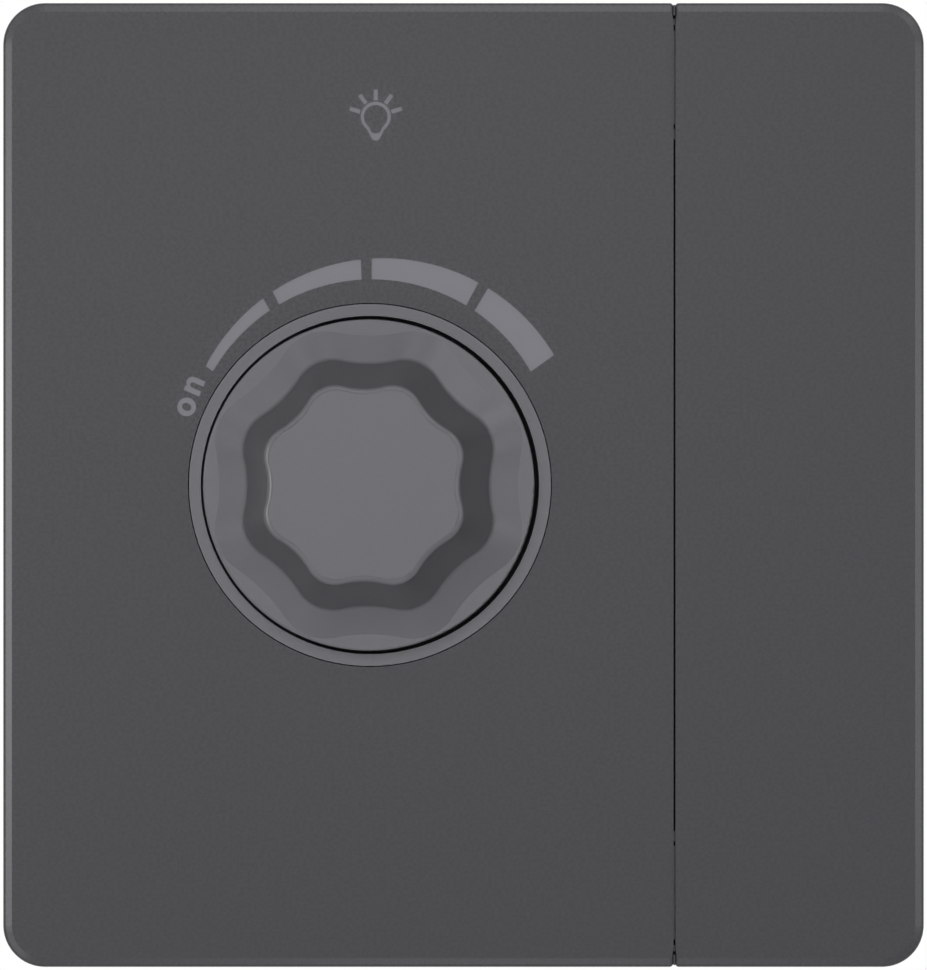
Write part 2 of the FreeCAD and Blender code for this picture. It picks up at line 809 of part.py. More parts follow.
def rail_groove_places():
    """Near and far edges, above the middle, of the two grooves across each rail at the split."""
    inner_rib, groove = d.rail_rib, d.rail_groove
    near = frame_opening_half + inner_rib
    far = rail_half_height - d.rail_outer_rib
    return ((near, near + groove), (far - groove, far))


def frame_screw_places():
    places = []
    for x in (d.frame_screw_left_x, d.frame_screw_right_x):
        for side in (1, -1):
            places.append((x, frame_screw_z * side))
    return places


def make_support_plate():
    """The steel plate on the wall box, with two slots for the box screws."""
    body = new_body("support")
    outline = centred(d.support_width, support_height, d.support_radius)
    through = (support_back, support_front)
    raised(body, "plate", through, [outline])
    opening = centred(support_opening, support_opening, d.support_opening_radius)
    sunk(body, "plate_opening", through, [opening])
    holes = [(x, z, d.frame_screw_radius) for x, z in frame_screw_places()]
    sunk(body, "thread_holes", through, (), holes)
    tools = []
    straight = d.box_slot_length / 2 - d.box_slot_radius
    for end, side in (("upper", 1), ("lower", -1)):
        middle = d.box_screw_spacing / 2 * side
        low, high = middle - straight, middle + straight
        width = (-d.box_slot_radius, d.box_slot_radius)
        tools.append(block(f"{end}_slot", width, through, (low, high)))
        tools.append(rod_out(f"{end}_slot_foot", ZERO, low, through, d.box_slot_radius))
        tools.append(rod_out(f"{end}_slot_head", ZERO, high, through, d.box_slot_radius))
    return piece("support_plate", cut("plate_with_slots", body, *tools))


def make_housing_lid():
    """The lid on the wall side of the covers, with the rocker's lugs and the finger's window."""
    body = new_body("lid")
    outline = rectangle((lid_left, lid_right), (-lid_half, lid_half), d.lid_radius)
    raised(body, "lid_plate", (support_front, d.lid_front_height), [outline])
    spigot = support_opening - d.lid_spigot_gap * 2
    spigot_corner = d.support_opening_radius - d.lid_spigot_gap
    inner = spigot - d.lid_spigot_wall * 2
    rings = [
        centred(spigot, spigot, spigot_corner),
        centred(inner, inner, spigot_corner - d.lid_spigot_wall),
    ]
    raised(body, "lid_spigot", (support_front - d.lid_spigot_depth, support_front), rings)
    lugs = [
        rectangle(span, (-d.rocker_lug_half_width, d.rocker_lug_half_width))
        for span in rocker_lug_spans()
    ]
    raised(body, "rocker_lugs", (d.lid_front_height, d.rocker_lug_top), lugs)
    bush_hole = (d.knob_x, ZERO, d.bush_radius + d.slip_gap)
    sunk(body, "bush_hole", (support_front, d.lid_front_height), (), [bush_hole])
    x = (d.finger_left - d.window_margin, d.finger_left + d.finger_width + d.window_margin)
    window = rectangle(x, (-d.window_half_length, d.window_half_length))
    bottom = support_front - d.lid_spigot_depth
    sunk(body, "finger_window", (bottom, d.lid_front_height), [window])
    shank = d.housing_screw_radius + d.screw_clearance
    sunk(body, "screw_holes", (bottom, d.lid_front_height), (), corner_circles(shank))
    head = d.housing_screw_head_radius + d.screw_clearance
    seat = d.lid_front_height - d.housing_screw_head
    sunk(body, "screw_seats", (seat, d.lid_front_height), (), corner_circles(head))
    lever = lever_span()
    trough_half = d.lever_barrel_radius + d.rocker_side_gap
    trough = rectangle(
        (lever[0] - d.rocker_side_gap, lever[1] + d.rocker_side_gap), (-trough_half, trough_half)
    )
    trough_floor = d.rocker_pivot_height - d.lever_barrel_radius - d.rocker_side_gap
    sunk(body, "barrel_trough", (trough_floor, d.lid_front_height), [trough])
    bore = rod_across(
        "lug_bore",
        (d.rocker_lug_left, lid_right),
        d.rocker_pivot_height,
        ZERO,
        d.rocker_pin_radius + d.slip_gap / 2,
    )
    return piece("housing_lid", cut("lid_with_lug_bores", body, bore))


def rocker_lug_spans():
    left = (d.rocker_lug_left, d.rocker_lug_left + d.rocker_lug_thickness)
    right = (lid_right - d.rocker_lug_right_thickness, lid_right)
    return (left, right)


def corner_places():
    """The four corners where lid and housing are screwed together."""
    return [
        (boss_offset * across, boss_offset * up) for across in (1, -1) for up in (1, -1)
    ]


def corner_circles(radius):
    return [(x, z, radius) for x, z in corner_places()]


def make_rear_housing():
    """The box inside the wall: screw bosses, board posts, wire entries, screw access and vents."""
    body = new_body("housing")
    outline = centred(housing_width, housing_width, d.housing_radius)
    raised(body, "box", (housing_back, support_back), [outline])

    def at_back(first, last):
        return all(abs(point.y + float(housing_back)) < 1e-4 for point in (first, last))

    back_rim = edges_where(body.Shape, at_back)
    dress(body, "Fillet", "back_rim", back_rim, Radius=d.housing_back_radius)
    inner = centred(housing_inner * 2, housing_inner * 2, d.housing_radius - d.housing_wall)
    sunk(body, "hollow", (housing_floor, support_back), [inner])
    boss_top = -d.boss_drop
    raised(body, "bosses", (housing_floor, boss_top), (), corner_circles(d.boss_radius))
    hole_bottom = boss_top - d.boss_depth
    sunk(body, "boss_holes", (hole_bottom, boss_top), (), corner_circles(d.boss_hole_radius))
    posts = [(x, z, d.board_post_radius) for x, z in board_post_places()]
    raised(body, "board_posts", (housing_floor, board_back), (), posts)
    clamp_half = d.terminal_size / 2 - d.terminal_ledge
    reach = terminal_places()[-1] + clamp_half
    window = rectangle((-reach, reach), (terminal_z - clamp_half, terminal_z + clamp_half))
    sunk(body, "terminal_window", (housing_back, housing_floor), [window])
    vents = []
    for number in range(int(float(d.vent_count))):
        middle = d.knob_x + d.vent_pitch * (number - (float(d.vent_count) - 1) / 2)
        span = (middle - d.vent_width / 2, middle + d.vent_width / 2)
        vents.append(rectangle(span, (choke_z - d.vent_length / 2, choke_z + d.vent_length / 2)))
    sunk(body, "vents", (housing_back, housing_floor), vents)
    access = []
    for number, x in enumerate(terminal_places(), start=1):
        access.append(
            rod_up(
                f"screw_access_{number}",
                x,
                terminal_screw_height(),
                (-housing_width, terminal_z - d.terminal_size / 2),
                d.terminal_screw_head_radius + d.screw_clearance,
            )
        )
    return piece("rear_housing", cut("housing_with_access", body, *access))


def board_post_places():
    """Posts under the circuit board, where its components leave room."""
    right = board_right - d.right_posts_from_edge
    return (
        (sink_right + d.upper_left_post_from_sink, board_half - d.upper_left_post_from_end),
        (right, board_half - d.upper_right_post_from_end),
        (sink_right + d.lower_left_post_from_sink, d.lower_left_post_z),
        (right, d.lower_right_post_z),
    )


def terminal_places():
    count = int(float(d.terminal_count))
    return [d.terminal_pitch * (number - (count - 1) / 2) for number in range(count)]


def terminal_screw_height():
    """Height of the terminal screws' axes, in the middle of the clamps."""
    return housing_floor + d.part_gap + d.terminal_length / 2


def make_screws():
    """The four screws of the housing and the four of the carrier frame."""
    lid_top = d.lid_front_height
    screws = []
    for number, (x, z) in enumerate(corner_places(), start=1):
        name = f"housing_screw_{number}"
        head_bottom = lid_top - d.housing_screw_head
        head = rod_out(f"{name}_head", x, z, (head_bottom, lid_top), d.housing_screw_head_radius)
        tip = lid_top - d.housing_screw_length
        shank = rod_out(f"{name}_shank", x, z, (tip, head_bottom), d.housing_screw_radius)
        drive = screw_cross(name, x, z, lid_top)
        screws.append(cut(name, fuse(f"{name}_blank", head, shank), *drive))
    piece("housing_screws", group("housing_screw_set", *screws))
    screws = []
    for number, (x, z) in enumerate(frame_screw_places(), start=1):
        name = f"frame_screw_{number}"
        head_top = d.frame_screw_seat + d.frame_screw_head
        seat = (d.frame_screw_seat, head_top)
        head = rod_out(f"{name}_head", x, z, seat, d.frame_screw_head_radius)
        shank_span = (support_back, d.frame_screw_seat)
        shank = rod_out(f"{name}_shank", x, z, shank_span, d.frame_screw_radius)
        drive = screw_cross(name, x, z, head_top)
        screws.append(cut(name, fuse(f"{name}_blank", head, shank), *drive))
    piece("frame_screws", group("frame_screw_set", *screws))


def screw_cross(name, x, z, top):
    """The two bars of a cross drive in a screw's head."""
    reach, half = d.screw_drive_radius, d.screw_drive_width / 2
    height = (top - d.screw_drive_depth, top + d.screw_drive_depth)
    level = block(f"{name}_level", (x - reach, x + reach), height, (z - half, z + half))
    upright = block(f"{name}_upright", (x - half, x + half), height, (z - reach, z + reach))
    return level, upright


# The knob


def lobed_wire(height, valley_radius, lobe_radius, rounding):
    """A ring of lobes at a height: arcs over the lobes, tangent to arcs in the valleys."""
    count = int(float(d.lobe_count))
    half_pitch = math.pi / count
    lobe_centre = lobe_radius - rounding
    spread = lobe_centre * math.cos(half_pitch)
    rise = lobe_centre**2 + valley_radius**2 - 2 * spread * valley_radius - rounding**2
    valley_rounding = rise / (2 * (rounding - valley_radius + spread))
    valley_centre = valley_radius + valley_rounding

    def point(radius, angle):
        x = float(d.knob_x) + radius * math.cos(angle)
        return Vector(x, -height, radius * math.sin(angle))

    edges = []
    for number in range(count):
        valley_angle = 2 * half_pitch * number
        lobe_angle = valley_angle + half_pitch
        next_angle = lobe_angle + half_pitch
        lobe_middle = point(lobe_centre, lobe_angle)
        joins = []
        for angle in (valley_angle, next_angle):
            towards = (point(valley_centre, angle) - lobe_middle).normalize()
            joins.append(lobe_middle + towards * rounding)
        after = point(valley_centre, next_angle)
        following = point(lobe_centre, next_angle + half_pitch)
        next_join = following + (after - following).normalize() * rounding
        lobe_tip, valley_foot = point(lobe_radius, lobe_angle), point(valley_radius, next_angle)
        edges.append(Part.Arc(joins[0], lobe_tip, joins[1]).toShape())
        edges.append(Part.Arc(joins[1], valley_foot, next_join).toShape())
    return Part.Wire(edges)


def lobed_solid(sections):
    """A ruled solid through lobed sections (height, valley radius, lobe radius)."""
    wires = []
    for height, valley, lobe in sections:
        rounding = lobe * float(d.lobe_rounding)
        wires.append(lobed_wire(height, valley, lobe, rounding))
    return Part.makeLoft(wires, True, True)


def edges_at(shape, height):
    """The edges that lie all along at one height above the wall."""
    boxes = [(edge, edge.BoundBox) for edge in shape.Edges]
    return [
        edge for edge, box in boxes
        if abs(box.YMin + height) < 1e-6 and abs(box.YMax + height) < 1e-6
    ]


def stub(radius, low, high):
    """A plain cylinder on the knob's axis between two heights."""
    return Part.makeCylinder(radius, high - low, Vector(float(d.knob_x), -low, 0), Vector(0, -1, 0))


def inlay_groove(top, crown):
    """The fine groove that sets off the inlaid top of the knob along its lobed edge."""
    depth = float(d.inlay_groove_depth)
    rims = []
    for inset in (d.inlay_groove_inset, d.inlay_groove_inset + d.inlay_groove_width):
        valley, lobe = (radius - float(inset) for radius in crown)
        rims.append(lobed_solid([(top - depth, valley, lobe), (top + depth, valley, lobe)]))
    return rims[0].cut(rims[1])


def make_knob():
    """The hollow lobed knob: flange, flare, tapered grip, hub with a D-shaped bore and ribs."""
    flange_top, grip_foot, top = float(flange_height), float(grip_foot_height), float(knob_top_height)
    foot, wall = float(d.knob_foot_height), float(d.knob_wall)
    flange_radius = float(d.flange_radius)
    flange = stub(flange_radius, foot, flange_top)
    flange = flange.makeFillet(float(d.flange_edge_radius), edges_at(flange, flange_top))
    outer = (float(d.flare_valley_radius), float(d.flare_lobe_radius))
    inner = (float(d.grip_valley_radius), float(d.grip_lobe_radius))
    crown = (float(d.top_valley_radius), float(d.top_lobe_radius))
    flare = lobed_solid([(flange_top, *outer), (grip_foot, *inner)])
    grip = lobed_solid([(grip_foot, *inner), (top, *crown)])
    grip = grip.makeFillet(float(d.top_edge_radius), edges_at(grip, top))
    outside = flare.fuse(grip)
    outside = outside.makeFillet(float(d.flare_foot_radius), edges_at(outside, grip_foot))
    outside = flange.fuse(outside).removeSplitter().cut(inlay_groove(top, crown))
    ceiling = top - wall
    skirt_ceiling = flange_top - wall
    hollow = stub(flange_radius - wall, foot, skirt_ceiling)
    throat, crown_room = inner[0] - wall, crown[0] - wall
    cone = Part.makeCone(
        throat, crown_room, ceiling - skirt_ceiling,
        Vector(float(d.knob_x), -skirt_ceiling, 0), Vector(0, -1, 0),
    )
    hub = stub(float(d.hub_radius), float(hub_foot_height), ceiling)
    ribs = []
    rib_foot = float(hub_foot_height) + wall
    rib_count = int(float(d.rib_count))
    for number in range(rib_count):
        rib = Part.makeBox(
            throat, ceiling - rib_foot, float(d.rib_thickness),
            Vector(float(d.knob_x), -ceiling, -float(d.rib_thickness) / 2),
        )
        angle = float(d.rib_start_angle) + 360 * number / rib_count
        rib.rotate(Vector(float(d.knob_x), 0, 0), Vector(0, 1, 0), angle)
        ribs.append(rib)
    inside = hub.fuse(ribs).common(cone.fuse(hollow))
    bore_radius = float(d.shaft_radius) + float(d.slip_gap)
    bore_top = float(d.shaft_front_height) + float(d.slip_gap)
    bore = d_solid(bore_radius, float(hub_foot_height), bore_top, float(d.knob_flat_gap))
    shell = outside.cut(hollow.fuse(cone)).fuse(inside).cut(bore)
    knob = DOC.addObject("Part::Feature", "knob_moulding")
    knob.Shape = shell.removeSplitter()
    return piece("knob", knob)


def d_solid(radius, low, high, extra=0.0):
    """A D-shaped bar on the knob's axis: a cylinder whose lower side has the shaft's flat."""
    bar = stub(radius, low, high)
    flat = float(d.shaft_radius) - float(d.shaft_flat) + extra
    side = 2 * radius
    corner = Vector(float(d.knob_x) - side, -high, -flat - side)
    return bar.cut(Part.makeBox(2 * side, high - low, side, corner))


def make_control_shaft():
    """The steel shaft with its long flat and the groove for the retaining clip."""
    low, high = float(d.shaft_back_height), float(d.shaft_front_height)
    bar = d_solid(float(d.shaft_radius), low, high)
    clip_front = float(bush_back - d.shaft_clip_seat)
    clip_back = clip_front - float(d.shaft_clip_thickness)
    groove = stub(float(d.shaft_radius) * 2, clip_back, clip_front)
    core = stub(float(d.shaft_groove_radius), clip_back, clip_front)
    flat_keeper = d_solid(float(d.shaft_groove_radius), clip_back, clip_front)
    shaft = DOC.addObject("Part::Feature", "shaft_bar")
    shaft.Shape = bar.cut(groove.cut(core)).common(bar).fuse(flat_keeper.common(bar)).removeSplitter()
    return piece("control_shaft", shaft)


def make_knob_clip():
    """The spring strip between the shaft's flat and the hub's flat, which grips the knob."""
    flat = d.shaft_radius - d.shaft_flat
    length = (d.shaft_front_height - d.knob_clip_length, d.shaft_front_height)
    strip = block(
        "clip_strip",
        (d.knob_x - d.knob_clip_width / 2, d.knob_x + d.knob_clip_width / 2),
        length,
        (-flat - d.slip_gap - d.knob_clip_thickness, -flat - d.slip_gap),
    )
    return piece("knob_clip", strip)


def make_shaft_clip():
    """The open retaining ring in the shaft's groove, behind the bush."""
    front = bush_back - d.shaft_clip_seat
    span = (front - d.shaft_clip_thickness + d.part_gap, front - d.part_gap)
    disc = rod_out("clip_disc", d.knob_x, ZERO, span, d.shaft_clip_radius)
    hole = rod_out("clip_hole", d.knob_x, ZERO, span, d.shaft_groove_radius + d.slip_gap)
    mouth = block(
        "clip_mouth",
        (d.knob_x - d.shaft_groove_radius, d.knob_x + d.shaft_groove_radius),
        span,
        (ZERO, d.shaft_clip_radius + d.slip_gap),
    )
    return piece("shaft_clip", cut("clip_ring", disc, hole, mouth))


def make_bush():
    """The brass bush in the lid, with its washer and nut."""
    bore = d.shaft_radius + d.running_gap
    profile = [
        (bore, bush_back),
        (d.bush_flange_radius, bush_back),
        (d.bush_flange_radius, support_front),
        (d.bush_radius, support_front),
        (d.bush_radius, d.bush_front_height),
        (bore, d.bush_front_height),
    ]
    piece("threaded_bush", turned("bush", profile, d.knob_x))
    washer_top = d.lid_front_height + d.washer_thickness
    span = (d.lid_front_height, washer_top)
    disc = rod_out("washer_disc", d.knob_x, ZERO, span, d.washer_radius)
    hole = rod_out("washer_hole", d.knob_x, ZERO, span, d.bush_radius + d.slip_gap)
    piece("bush_washer", cut("washer", disc, hole))
    body = new_body("nut")
    across = d.nut_across_flats / 2
    side = across * math.tan(math.pi / 6)
    corner = across / math.cos(math.pi / 6)
    hexagon = [
        (d.knob_x - side, -across, None),
        (d.knob_x + side, -across, None),
        (d.knob_x + corner, ZERO, None),
        (d.knob_x + side, across, None),
        (d.knob_x - side, across, None),
        (d.knob_x - corner, ZERO, None),
    ]
    height = (washer_top, washer_top + d.nut_thickness)
    circle = (d.knob_x, ZERO, d.bush_radius + d.slip_gap)
    raised(body, "nut_blank", height, [hexagon], [circle])
    return piece("bush_nut", body)


def make_potentiometer():
    """The pot behind the bush: case, carbon track and the rotor with its wipers."""
    back = d.board_front_height
    shaft_hole = d.shaft_radius + d.screw_clearance
    clip_room = d.shaft_clip_radius + d.screw_clearance
    profile = [
        (shaft_hole, back),
        (d.pot_radius, back),
        (d.pot_radius, bush_back),
        (clip_room, bush_back),
        (clip_room, bush_back - d.pot_wall),
        (d.pot_radius - d.pot_wall, bush_back - d.pot_wall),
        (d.pot_radius - d.pot_wall, back + d.pot_wall),
        (shaft_hole, back + d.pot_wall),
    ]
    piece("pot_case", turned("pot", profile, d.knob_x))
    track_top = back + d.pot_wall + d.track_thickness
    span = (back + d.pot_wall, track_top)
    disc = rod_out("track_disc", d.knob_x, ZERO, span, d.pot_radius - d.pot_wall - d.part_gap)
    hole = rod_out("track_hole", d.knob_x, ZERO, span, shaft_hole)
    piece("resistive_track", cut("track", disc, hole))
    rotor_front = float(d.rotor_front_height)
    rotor_back = float(track_top) + float(d.wiper_gap)
    disc_front = rotor_back + float(d.rotor_thickness)
    rotor = stub(float(d.rotor_hub_radius), rotor_back, rotor_front)
    rotor = rotor.fuse(stub(float(d.rotor_radius), rotor_back + float(d.wiper_gap), disc_front))
    slip = float(d.slip_gap)
    bore = d_solid(float(d.shaft_radius) + slip, rotor_back, rotor_front, slip)
    wiper = DOC.addObject("Part::Feature", "rotor")
    wiper.Shape = rotor.cut(bore).removeSplitter()
    piece("wiper_rotor", wiper)


# The circuit board and what it carries


def make_circuit_board():
    """The board, notched at the housing's bosses, with the hole that the shaft passes."""
    body = new_body("board")
    outline = rectangle((board_left, board_right), (-board_half, board_half))
    raised(body, "board_blank", (board_back, d.board_front_height), [outline])
    notch = boss_offset - d.boss_radius - d.screw_clearance
    side = (-housing_inner, -notch)
    notches = [rectangle(side, (notch, housing_inner)), rectangle(side, (-housing_inner, -notch))]
    sunk(body, "boss_notches", (board_back, d.board_front_height), notches)
    hole = (d.knob_x, ZERO, d.shaft_radius + d.screw_clearance)
    sunk(body, "shaft_hole", (board_back, d.board_front_height), (), [hole])
    return piece("circuit_board", body)


def make_push_switch():
    """The push switch behind the board, whose plunger the shaft's end pushes in."""
    half = d.switch_case_width / 2
    span = (switch_case_back, board_back)
    case = block(
        "switch_block",
        (d.knob_x - half, d.knob_x + half),
        span,
        (-d.switch_case_height / 2, d.switch_case_height / 2),
    )
    stem_room = d.shaft_radius + d.screw_clearance
    mouth = rod_out("switch_mouth", d.knob_x, ZERO, (plunger_head_front, board_back), stem_room)
    cavity_span = (switch_case_back + d.switch_case_floor, plunger_head_front)
    cavity = rod_out("switch_cavity", d.knob_x, ZERO, cavity_span, d.plunger_cavity_radius)
    piece("push_switch_case", cut("push_switch_shell", case, mouth, cavity))
    stem_front = d.shaft_back_height - d.part_gap
    stem_span = (plunger_head_front - d.part_gap, stem_front)
    stem = rod_out("plunger_stem", d.knob_x, ZERO, stem_span, d.plunger_radius)
    head_span = (plunger_head_back, plunger_head_front - d.part_gap)
    head = rod_out("plunger_head", d.knob_x, ZERO, head_span, d.plunger_head_radius)
    piece("switch_plunger", fuse("plunger", stem, head))
    wire = float(d.spring_wire)
    bottom = float(switch_case_back) + float(d.switch_case_floor) + wire
    length = float(plunger_head_back) - bottom - wire
    spring = coil(length, float(d.spring_turns), float(d.spring_radius), wire)
    foot = Vector(float(d.knob_x), -bottom, 0)
    spring.Placement = FreeCAD.Placement(foot, Rotation(Vector(1, 0, 0), 90))
    holder = DOC.addObject("Part::Feature", "plunger_coil")
    holder.Shape = spring
    piece("plunger_spring", holder)
    lever = d.switch_contact_thickness
    contacts = []
    for number, side in enumerate((1, -1), start=1):
        x = d.knob_x + (half + d.part_gap) * side
        ends = (x, x + lever) if side > 0 else (x - lever, x)
        contacts.append(
            block(
                f"switch_tab_{number}",
                ends,
                (switch_case_back + d.switch_case_floor, board_back - d.part_gap),
                (-d.switch_contact_width / 2, d.switch_contact_width / 2),
            )
        )
    piece("push_switch_tabs", group("push_switch_tab_pair", *contacts))


def coil(length, turns, radius, wire):
    """A round-wire coil along Z from the origin, as one tube on arcs of under a quarter turn."""
    quarters = round(turns * 4)
    rise = length / turns / (2 * math.pi)

    def point_and_course(quarter):
        angle = math.pi / 2 * quarter
        point = Vector(radius * math.cos(angle), radius * math.sin(angle), rise * angle)
        course = Vector(-radius * math.sin(angle), radius * math.cos(angle), rise)
        return point, course.normalize()

    arcs = []
    for quarter in range(quarters):
        arcs += biarc(*point_and_course(quarter), *point_and_course(quarter + 1))
    path = Part.Wire(arcs)
    start, course = point_and_course(0)
    section = Part.Wire([Part.Circle(start, course, wire / 2).toShape()])
    print(f"coil of {turns} turns: least gap to itself {length / turns - wire:.2f} mm")
    return path.makePipeShell([section], True, False)


def biarc(start, start_course, end, end_course):
    """Two arcs from a point to a point that meet smoothly and keep the course at both."""
    across = end - start
    both = start_course + end_course
    spare = 2 * (1 - start_course.dot(end_course))
    along = across.dot(both)
    reach = (math.sqrt(along**2 + spare * across.dot(across)) - along) / spare
    corners = (start + start_course * reach, end - end_course * reach)
    middle = (corners[0] + corners[1]) / 2
    arcs = []
    for first, corner, last in ((start, corners[0], middle), (middle, corners[1], end)):
        chord_middle = (first + last) / 2
        bend = (last - first).Length / 2 / reach
        top = chord_middle + (corner - chord_middle) * (bend / (1 + bend))
        arcs.append(Part.Arc(first, top, last).toShape())
    return arcs


def make_choke():
    """The ring-core choke: an iron-powder core in its copper winding."""
    front = board_back - d.part_gap - d.choke_wire
    back = front - d.choke_core_thickness
    outer, inner = d.choke_core_outer, d.choke_core_inner
    core_blank = rod_out("core_blank", d.choke_x, choke_z, (back, front), outer)
    core_hole = rod_out("core_hole", d.choke_x, choke_z, (back, front), inner)
    piece("choke_core", cut("core_ring", core_blank, core_hole))
    gap, wire = float(d.part_gap), float(d.choke_wire)
    low, high = float(back), float(front)
    inside, outside = float(inner) - gap, float(outer) + gap
    x, z = float(d.choke_x), float(choke_z)
    loop = [
        (inside - wire + gap, high + wire), (outside + wire - gap, high + wire),
        (outside + wire - gap, low - wire), (inside - wire + gap, low - wire),
    ]
    hole = [(inside, high + gap), (outside, high + gap), (outside, low - gap), (inside, low - gap)]
    faces = []
    for corners in (loop, hole):
        points = [Vector(x + radius, -height, z) for radius, height in corners]
        faces.append(Part.Face(Part.makePolygon(points + points[:1])))
    section = faces[0].cut(faces[1]).Faces[0]
    winding = DOC.addObject("Part::Feature", "winding")
    winding.Shape = section.revolve(Vector(x, 0, z), Vector(0, -1, 0), float(d.choke_winding_angle))
    piece("choke_winding", winding)


def make_capacitors():
    """The film capacitor, the electrolytic and the start capacitor, each on its leads."""
    top = board_back - d.part_gap
    floor = housing_floor + d.capacitor_floor_gap
    right = board_right - d.film_capacitor_edge_gap
    half_length = d.film_capacitor_length / 2
    z = d.film_capacitor_z
    box = block(
        "film_box",
        (right - d.film_capacitor_width, right),
        (floor, top),
        (z - half_length, z + half_length),
    )
    rounded = DOC.addObject("Part::Fillet", "film_rounded")
    rounded.Base = box
    rounding = float(d.film_capacitor_rounding)
    rounded.Edges = [(number, rounding, rounding) for number in range(1, 13)]
    piece("film_capacitor", rounded)
    x = sink_right + d.electrolytic_sink_gap + d.electrolytic_radius
    large = rod_out("electrolytic", x, d.electrolytic_z, (floor, top), d.electrolytic_radius)
    x = board_right - d.start_capacitor_edge_gap - d.start_capacitor_radius
    span = (housing_floor + d.start_capacitor_floor_gap, top)
    small = rod_out("start_can", x, d.start_capacitor_z, span, d.start_capacitor_radius)
    piece("electrolytic_capacitors", group("capacitor_cans", large, small))


def make_fuse():
    """The glass fuse with its two end caps."""
    height = board_back - d.part_gap - d.fuse_cap_radius
    left = sink_right + d.fuse_from_sink
    right = left + d.fuse_length
    caps = []
    for name, ends in (
        ("left_cap", (left, left + d.fuse_cap_length)),
        ("right_cap", (right - d.fuse_cap_length, right)),
    ):
        caps.append(rod_across(name, ends, height, d.fuse_z, d.fuse_cap_radius))
    piece("fuse_caps", group("fuse_cap_pair", *caps))
    span = (left + d.fuse_cap_length + d.part_gap, right - d.fuse_cap_length - d.part_gap)
    piece("fuse_tube", rod_across("fuse_glass", span, height, d.fuse_z, d.fuse_radius))


def make_triac():
    """The triac on its aluminium heat sink, with the screw that holds it."""
    left, right = sink_left, sink_right
    half = d.heat_sink_length / 2
    sink_height = (housing_floor + d.heat_sink_floor_gap, board_back - d.part_gap)
    plate = block("sink_plate", (left, right), sink_height, (-half, half))
    body_front = board_back - d.triac_stand_off
    body_back = body_front - d.triac_depth
    tab_back = housing_floor + d.triac_floor_gap
    screw_hole_height = (body_back + tab_back) / 2
    hole = rod_across(
        "sink_hole", (left, right), screw_hole_height, d.triac_z, d.triac_screw_radius + d.slip_gap
    )
    piece("heat_sink", cut("sink", plate, hole))
    z = (d.triac_z - d.triac_width / 2, d.triac_z + d.triac_width / 2)
    thickness = (right + d.triac_tab, right + d.triac_thickness)
    body = block("triac_body", thickness, (body_back, body_front), z)
    tab = block("triac_tab_plate", (right, right + d.triac_tab), (tab_back, body_front), z)
    tab_hole = rod_across(
        "tab_hole",
        (right, right + d.triac_tab),
        screw_hole_height,
        d.triac_z,
        d.triac_screw_radius + d.slip_gap,
    )
    piece("triac", fuse("triac_blank", body, cut("triac_tab_holed", tab, tab_hole)))
    head_right = right + d.triac_tab + d.triac_screw_head
    head = rod_across(
        "triac_screw_head",
        (right + d.triac_tab, head_right),
        screw_hole_height,
        d.triac_z,
        d.triac_screw_head_radius,
    )
    shank = rod_across(
        "triac_screw_shank",
        (left, right + d.triac_tab),
        screw_hole_height,
        d.triac_z,
        d.triac_screw_radius,
    )
    piece("triac_screw", fuse("triac_screw_solid", head, shank))


def make_control_chip():
    """The small controller on the board's front."""
    x, z = board_right - d.chip_from_edge, d.chip_z
    front = d.board_front_height
    body = block(
        "chip_body",
        (x - d.chip_width / 2, x + d.chip_width / 2),
        (front, front + d.chip_thickness),
        (z - d.chip_length / 2, z + d.chip_length / 2),
    )
    return piece("control_chip", body)


def make_terminals():
    """The wire clamps, each a brass block with a wire hole and a screw from below."""
    clamps, screws = [], []
    low = housing_floor + d.part_gap
    span = (low, low + d.terminal_length)
    half = d.terminal_size / 2
    height = terminal_screw_height()
    bore = d.terminal_bore_radius
    for number, x in enumerate(terminal_places(), start=1):
        z = terminal_z
        blank = block(f"clamp_block_{number}", (x - half, x + half), span, (z - half, z + half))
        wire = rod_out(f"clamp_bore_{number}", x, z, span, bore)
        thread_radius = d.terminal_screw_radius
        tip = z - bore
        thread = rod_up(f"clamp_thread_{number}", x, height, (z - half, z), thread_radius + d.slip_gap)
        clamps.append(cut(f"clamp_{number}", blank, wire, thread))
        head_top = z - half - d.part_gap
        head_bottom = head_top - d.terminal_screw_head
        head = rod_up(
            f"terminal_head_{number}", x, height, (head_bottom, head_top), d.terminal_screw_head_radius
        )
        shank = rod_up(f"terminal_shank_{number}", x, height, (head_top, tip), thread_radius)
        slot_half = d.screw_drive_width / 2
        slot = block(
            f"terminal_slot_{number}",
            (x - d.terminal_screw_head_radius, x + d.terminal_screw_head_radius),
            (height - slot_half, height + slot_half),
            (head_bottom, head_bottom + d.screw_drive_depth),
        )
        solid = fuse(f"terminal_screw_blank_{number}", head, shank)
        screws.append(cut(f"terminal_screw_{number}", solid, slot))
    piece("terminal_clamps", group("clamp_set", *clamps))
    piece("terminal_screws", group("terminal_screw_set", *screws))


# The side rocker and its switch


